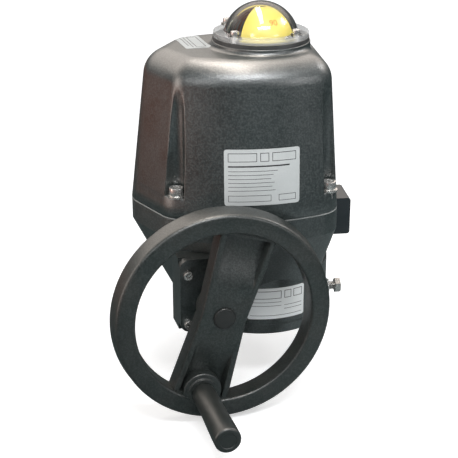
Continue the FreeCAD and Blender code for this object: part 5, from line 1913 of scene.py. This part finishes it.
@dataclass
class Label:
    """A printed film with ruled, empty fields, laid on a surface."""

    name: str
    width: float
    height: float
    aim: Aim
    surface: BVHTree
    rows: Sequence[Row]
    film: Finish = LABEL_FILM_WITH_PAINTED_SHADE
    corner: float = 2.0
    thickness: float = 0.3
    sink: float = 0.1
    ink: float = 0.06
    grid: float = 3.0
    crease: float = 50.0

    def laid(self, u: float, v: float, lift: float) -> Vector:
        """Finds where a point of the label lies on the surface.

        Args:
            u: Millimetres to the right of the label's middle.
            v: Millimetres above it.
            lift: How far the point stands off the surface.

        Returns:
            The point in millimetres.
        """
        start, toward = self.aim(u, v)
        hit, normal, _, _ = self.surface.ray_cast(start * MM, toward)
        if hit is None:
            raise ValueError(f"{self.name} misses its surface at {u:.1f}, {v:.1f}")
        if normal.dot(toward) > 0:
            normal = -normal
        return hit / MM + normal * lift

    def divided(self, outline: Sequence[Spot]) -> bmesh.types.BMesh:
        """Cuts a flat outline into a grid, so that it can follow a bent surface.

        Args:
            outline: The outline on the label.

        Returns:
            The flat mesh.
        """
        flat = bmesh.new()
        flat.faces.new([flat.verts.new((u, v, 0)) for u, v in outline])
        for axis, size in ((0, self.width), (1, self.height)):
            steps = max(1, round(size / self.grid))
            for step in range(1, steps):
                at, way = Vector((0, 0, 0)), Vector((0, 0, 0))
                at[axis] = size * (step / steps - 0.5)
                way[axis] = 1
                geometry = [*flat.verts, *flat.edges, *flat.faces]
                bmesh.ops.bisect_plane(flat, geom=geometry, dist=WELD, plane_co=at, plane_no=way)
        flat.verts.index_update()
        return flat

    def patch(
        self, name: str, outline: Sequence[Spot], low: float, high: float, finish: Finish
    ) -> bpy.types.Object:
        """Makes a thin closed film between two heights above the surface.

        Args:
            name: The piece's name.
            outline: The film's outline on the label.
            low: Its underside's height.
            high: Its face's height.
            finish: Its finish.

        Returns:
            The film's piece.
        """
        flat = self.divided(outline)
        shape = Shape()
        spots = [v.co.xy for v in flat.verts]
        bottom, top = (
            [shape.mesh.verts.new(self.laid(u, v, lift)) for u, v in spots] for lift in (low, high)
        )
        add = shape.mesh.faces.new
        for face in flat.faces:
            around = [v.index for v in face.verts]
            add([top[i] for i in around])
            add([bottom[i] for i in reversed(around)])
        for edge in flat.edges:
            if edge.is_boundary:
                a, b = (v.index for v in edge.verts)
                add([bottom[a], bottom[b], top[b], top[a]])
        flat.free()
        thing = shape.object(name)
        return finish_piece(thing, Slot.WHITE_PLASTIC, Body.HOUSING, (), finish, self.crease)

    def build(self) -> bpy.types.Object:
        """Builds the film and its rules.

        Returns:
            The film's piece.
        """
        wide, tall = self.width / 2, self.height / 2
        ends = ((-wide, -tall), (wide, -tall), (wide, tall), (-wide, tall))
        outline = rounded([(u, v, self.corner) for u, v in ends])
        film = self.patch(self.name, outline, -self.sink, self.thickness, self.film)
        low, top = self.thickness - self.sink, self.thickness + self.ink
        bars = [bar for row in self.rows for bar in bars_of(*row)]
        rules = []
        for number, (left, foot, right, head) in enumerate(bars):
            ends = [(left, foot), (right, foot), (right, head), (left, head)]
            rules.append(self.patch(f"{self.name}_rule_{number + 1}", ends, low, top, PRINT_INK))
        join_pieces(rules, self.name + "_print")
        return film


def surface_of(thing: bpy.types.Object) -> BVHTree:
    """Makes a search tree of an object's faces, in metres.

    Args:
        thing: The object.

    Returns:
        The search tree.
    """
    mesh = bmesh.new()
    mesh.from_mesh(thing.data)
    tree = BVHTree.FromBMesh(mesh)
    mesh.free()
    return tree


def bars_of(left: float, low: float, right: float, high: float, line: float) -> list[Rule]:
    """Gives the bars of a printed box: the four thin sides of an empty one, or a full one.

    Args:
        left: The box's left side.
        low: Its foot.
        right: Its right side.
        high: Its head.
        line: How thick its sides are, or 0 where it is full.

    Returns:
        Each bar's left side, foot, right side and head.
    """
    if not line:
        return [(left, low, right, high)]
    return [
        (left, low, right, low + line),
        (left, high - line, right, high),
        (left, low + line, left + line, high - line),
        (right - line, low + line, right, high - line),
    ]


# Each printed box: its left side, foot, right side, head, and its line's thickness. A full
# one has 0 there.
FRONT_ROWS = (
    (-31.0, 14.5, -5.0, 22.5, 0.5),
    (-2.0, 14.5, 6.0, 22.5, 0.5),
    (9.0, 14.5, 31.0, 22.5, 0.5),
    (-31.0, 9.6, 25.0, 10.9, 0),
    (-31.0, 5.6, 14.0, 6.0, 0),
    (-31.0, 2.0, 10.0, 2.4, 0),
    (-31.0, -1.6, 8.0, -1.2, 0),
    (-31.0, -5.2, 11.0, -4.8, 0),
    (-31.0, -8.8, 9.0, -8.4, 0),
    (-31.0, -12.4, 12.0, -12.0, 0),
    (-31.0, -22.5, 8.0, -16.6, 0.4),
    (15.0, -22.5, 31.0, -16.6, 0.4),
)
CROWN_ROWS = (
    (-20.0, -1.0, 20.0, 8.5, 0.6),
    (-20.0, -4.2, 20.0, -3.6, 0),
    (-20.0, -7.4, 14.0, -6.8, 0),
)
PLATE_ROWS = (
    (-26.0, 5.0, 4.0, 13.0, 0.5),
    (7.0, 5.0, 14.0, 13.0, 0.5),
    (16.5, 5.0, 26.0, 13.0, 0.5),
    (-26.0, 1.2, 4.0, 1.6, 0),
    (-26.0, -2.6, 4.0, -2.2, 0),
    (-26.0, -12.6, 26.0, -12.2, 0),
    (7.0, -2.6, 26.0, -2.2, 0),
    (7.0, -6.4, 26.0, -6.0, 0),
)


@dataclass
class Labels:
    """The three labels, each with rules and empty fields."""

    cover: bpy.types.Object
    base: bpy.types.Object
    front_size: Spot = (69.0, 52.0)
    front_corner: float = 2.5
    front_middle: Spot = (-9.5, 164.0)
    crown_size: Spot = (49.0, 24.0)
    crown_thickness: float = 0.25
    crown_middle: Spot = (-62.5, 17.5)
    crown_slant: float = 0.16
    plate_size: Spot = (57.0, 32.0)
    plate_height: float = 31.0
    plate_turn: float = 7.0
    drum: float = 67.0
    outside: float = 120.0
    ahead: float = 200.0
    above: float = 320.0

    def front(self) -> Label:
        """Makes the large label on the cover's front.

        Returns:
            The label.
        """
        middle, level = self.front_middle

        def aim(u: float, v: float) -> tuple[Vector, Vector]:
            """Aims from the front, straight back."""
            return Vector((middle + u, -self.ahead, level + v)), Vector((0, 1, 0))

        place = (*self.front_size, aim, surface_of(self.cover))
        return Label("front_label", *place, FRONT_ROWS, corner=self.front_corner)

    def crown(self) -> Label:
        """Makes the small label on the crown, left of the window.

        Returns:
            The label.
        """
        middle = Vector((*self.crown_middle, 0))
        along = Vector((self.crown_slant, -1.0, 0)).normalized()
        across = Vector((1.0, self.crown_slant, 0)).normalized()

        def aim(u: float, v: float) -> tuple[Vector, Vector]:
            """Aims from above, straight down."""
            spot = middle + along * u + across * v
            return Vector((spot.x, spot.y, self.above)), Vector((0, 0, -1))

        place = (*self.crown_size, aim, surface_of(self.cover))
        return Label("crown_label", *place, CROWN_ROWS, thickness=self.crown_thickness)

    def plate(self) -> Label:
        """Makes the label round the drum of the base, right of the handwheel's bar.

        Returns:
            The label.
        """
        start = math.radians(self.plate_turn) - QUARTER

        def aim(u: float, v: float) -> tuple[Vector, Vector]:
            """Aims from outside, towards the output axis."""
            away = Matrix.Rotation(start + u / self.drum, 3, "Z") @ Vector((1, 0, 0))
            return away * self.outside + Vector((0, 0, self.plate_height + v)), -away

        place = (*self.plate_size, aim, surface_of(self.base))
        # The plate's film is paler, partly as painted light against the handwheel's shadow.
        return Label("base_label", *place, PLATE_ROWS, PALE_PLATE_FILM_WITH_PAINTED_LIGHT)

    def build(self) -> None:
        """Builds the three labels."""
        for label in (self.front(), self.crown(), self.plate()):
            film = label.build()
            log.info("%s: %d faces", film.name, len(film.data.polygons))


# Carried CAD nodes


@dataclass
class CarriedNodes:
    """The CAD nodes that stay as they are and take a finish by their slot."""

    shown: dict[str, bpy.types.Object]
    slots: dict[str, str]
    own: dict[str, Finish]

    def dress(self) -> int:
        """Gives every shown node its slot's finish, or its own.

        Returns:
            How many nodes were dressed.
        """
        seen = {name: thing for name, thing in self.shown.items() if not thing.hide_render}
        for name, thing in seen.items():
            finish = self.own.get(name, FINISHES[Slot(self.slots[name])])
            for slot in thing.material_slots:
                slot.material = finish.material()
        return len(seen)


# Studio


@dataclass(frozen=True)
class Lamp:
    """A soft rectangular lamp that faces the actuator."""

    name: str
    at: Point
    size: Spot
    radiance: float
    tint: Colour = (1.0, 1.0, 1.0)
    sheen_only: bool = False

    AIMED_AT: ClassVar[Vector] = Vector((-0.02, 0, 0.15))

    def hang(self) -> None:
        """Adds the lamp, unseen by the camera itself."""
        data = bpy.data.lights.new(self.name, "AREA")
        data.shape = "RECTANGLE"
        data.size, data.size_y = self.size
        data.energy = self.radiance * math.pi * self.size[0] * self.size[1]
        data.color = self.tint
        lamp = placed(self.name, data)
        lamp.location = self.at
        toward = self.AIMED_AT - Vector(self.at)
        lamp.rotation_euler = toward.to_track_quat("-Z", "Y").to_euler()
        lamp.visible_camera = False
        lamp.visible_diffuse = not self.sheen_only


@dataclass
class Studio:
    """A pale floor, soft lamps, a white background and the photograph's camera.

    A tone called mirrored shows in reflections, and one called through shows through the
    window. The floor is lighter there straight ahead of the cover, and warmer far to the left.
    """

    camera_at: Point = (-0.1657, -1.0882, 0.5246)
    camera_tilt: float = 68.04
    camera_pan: float = -7.12
    lens: float = 94.32
    sensor: float = 36.0
    floor: float = -0.0575
    floor_reach: float = 8.0
    floor_tone: Colour = (0.9, 0.9, 0.9)
    floor_mirrored: Colour = (0.065, 0.088, 0.092)
    floor_mirrored_ahead: Colour = (0.27, 0.315, 0.32)
    floor_mirrored_left: Colour = (0.75, 0.25, 0.15)
    floor_through: Colour = (0.06, 0.055, 0.05)
    ahead_middle: float = 0.12
    ahead_half: float = 0.32
    left_range: Spot = (-0.6, -1.5)
    glow_range: Spot = (0.9, 2.6)
    glow_near: float = 0.5
    floor_roughness: float = 0.9
    white: Colour = (1.0, 1.0, 1.0)
    world_tone: Colour = (0.42, 0.42, 0.42)
    world_mirrored: Colour = (0.14, 0.155, 0.165)
    rear_wall: Colour = (2.5, 2.25, 2.05)
    world_through: Colour = (0.08, 0.075, 0.07)
    wall_behind: Spot = (-0.1, 0.5)
    wall_above: Spot = (0.2, 0.48)
    lamps: tuple[Lamp, ...] = (
        Lamp("overhead", (-0.05, 0.0, 1.4), (1.4, 0.22), 4.5, (1.0, 0.96, 0.92)),
        Lamp("overhead_sheen", (-0.05, 0.0, 1.42), (1.4, 0.22), 10.0, (1.0, 0.9, 0.79), True),
        Lamp("front_top", (0.05, -0.95, 1.25), (0.9, 0.2), 20.0, (0.95, 0.98, 1.0)),
        Lamp("left", (-1.25, -0.25, 0.35), (0.6, 0.8), 2.6, (1.0, 0.88, 0.8)),
        Lamp("front_left", (-0.75, -1.0, 0.75), (0.25, 0.25), 7.0),
        Lamp("front_right", (0.8, -0.9, 0.55), (0.25, 0.3), 7.0),
        Lamp("right_top", (0.95, 0.15, 0.95), (0.3, 0.3), 9.0),
    )

    def set_camera(self) -> None:
        """Makes the camera at the photograph's viewing angle."""
        data = bpy.data.cameras.new("camera")
        data.lens = self.lens
        data.sensor_width = self.sensor
        camera = placed("camera", data)
        camera.location = self.camera_at
        camera.rotation_euler = (math.radians(self.camera_tilt), 0, math.radians(self.camera_pan))
        bpy.context.scene.camera = camera

    def floor_material(self) -> bpy.types.Material:
        """Makes the floor's material: white to the eye, dim in reflections and the window.

        Returns:
            The material.
        """
        made = bpy.data.materials.new("floor")
        made.use_nodes = True
        graph = Graph(made.node_tree)
        path = graph.add("ShaderNodeLightPath").outputs
        place = graph.add("ShaderNodeTexCoord").outputs["Object"]
        across = graph.add("ShaderNodeSeparateXYZ", {0: place}).outputs["X"]
        leftward = graph.ranged(across, *self.left_range, 0, 1)
        off_middle = graph.math("ABSOLUTE", graph.math("SUBTRACT", across, self.ahead_middle))
        ahead = graph.ranged(off_middle, self.ahead_half, 0.0, 0, 1)
        dim = graph.blend(ahead, self.floor_mirrored, self.floor_mirrored_ahead)
        dim = graph.blend(leftward, dim, self.floor_mirrored_left)
        tone = graph.blend(path["Is Glossy Ray"], self.floor_tone, dim)
        tone = graph.blend(path["Is Transmission Ray"], tone, self.floor_through)
        away = graph.add("ShaderNodeVectorMath", {0: place}, operation="LENGTH").outputs["Value"]
        whiter = graph.ranged(away, *self.glow_range, self.glow_near, 1)
        glow = graph.math("MULTIPLY", path["Is Camera Ray"], whiter)
        graph.feed(
            made.node_tree.nodes["Principled BSDF"],
            {
                "Base Color": tone,
                "Emission Strength": glow,
                "Emission Color": (*self.white, 1),
                "Roughness": self.floor_roughness,
                "Specular IOR Level": 0.0,
            },
        )
        return made

    def lay_floor(self) -> None:
        """Lays the floor under the actuator."""
        mesh = bmesh.new()
        bmesh.ops.create_grid(mesh, x_segments=1, y_segments=1, size=self.floor_reach)
        data = baked("floor", mesh)
        data.transform(Matrix.Translation((0, 0, self.floor)))
        data.materials.append(self.floor_material())
        placed("floor", data)

    def set_world(self) -> None:
        """Sets a white background, an even light, and a warm bright rear wall in reflections."""
        world = bpy.data.worlds.new("studio")
        world.use_nodes = True
        bpy.context.scene.world = world
        graph = Graph(world.node_tree)
        path = graph.add("ShaderNodeLightPath").outputs
        toward = graph.add("ShaderNodeTexCoord").outputs["Generated"]
        way = graph.add("ShaderNodeSeparateXYZ", {0: toward}).outputs
        behind = graph.ranged(way["Y"], *self.wall_behind, 0, 1)
        above = graph.ranged(way["Z"], *self.wall_above, 0, 1)
        bright = graph.math("MULTIPLY", behind, above)
        wall = graph.blend(bright, self.world_mirrored, self.rear_wall)
        tone = graph.blend(path["Is Glossy Ray"], self.world_tone, wall)
        tone = graph.blend(path["Is Transmission Ray"], tone, self.world_through)
        tone = graph.blend(path["Is Camera Ray"], tone, self.white)
        graph.feed(world.node_tree.nodes["Background"], {"Color": tone})

    def build(self) -> None:
        """Builds the whole studio."""
        bpy.context.scene.view_settings.view_transform = "Standard"
        self.set_camera()
        self.lay_floor()
        self.set_world()
        for lamp in self.lamps:
            lamp.hang()


# The actuator


WINDOW_SQUARE = 40.0 * math.sqrt(2)
SCREW_SETS = (
    ScrewSet(
        "cover_cap_screws",
        "cover_screws",
        spread=(142.0, 122.0),
        centre=(-15.0, 0.0, 142.8),
        head_radius=6.5,
        shank_radius=4.0,
        shank_length=37.8,
    ),
    ScrewSet(
        "window_cap_screws",
        "dome_screws",
        spread=(WINDOW_SQUARE, WINDOW_SQUARE),
        centre=(0.0, 0.0, 281.8),
        head_radius=3.6,
        shank_radius=2.0,
        shank_length=14.8,
    ),
    ScrewSet(
        "plate_cap_screws",
        "plate_screws",
        spread=(48.0, 50.0),
        centre=(0.0, 3.0, -22.0),
        head_radius=4.25,
        shank_radius=2.5,
        shank_length=20.0,
        place=WHEEL,
    ),
)
OWN_FINISHES = {"dome_gasket": WINDOW_RUBBER}


def main() -> None:
    """Builds the pieces in order and reports each."""
    logging.basicConfig(level=logging.INFO, format="%(name)s: %(message)s")
    Studio().build()
    log.info("studio set")
    cover = Cover().build()
    log.info("%s: %d faces", cover.name, len(cover.data.polygons))
    makers = (*SCREW_SETS, StopScrews(), Handwheel(), CrankGrip(), PositionWindow())
    for maker in (*makers, PositionIndicator()):
        made = maker.build()
        log.info("%s: %d faces", made.name, len(made.data.polygons))
    Labels(cover, frame["nodes"]["base_housing"]).build()
    slots = {row["node"]: row["material_slot"] for row in frame["record"]["subparts"]}
    count = CarriedNodes(frame["nodes"], slots, OWN_FINISHES).dress()
    log.info("carried nodes dressed: %d", count)


if __name__ == "__main__":
    main()
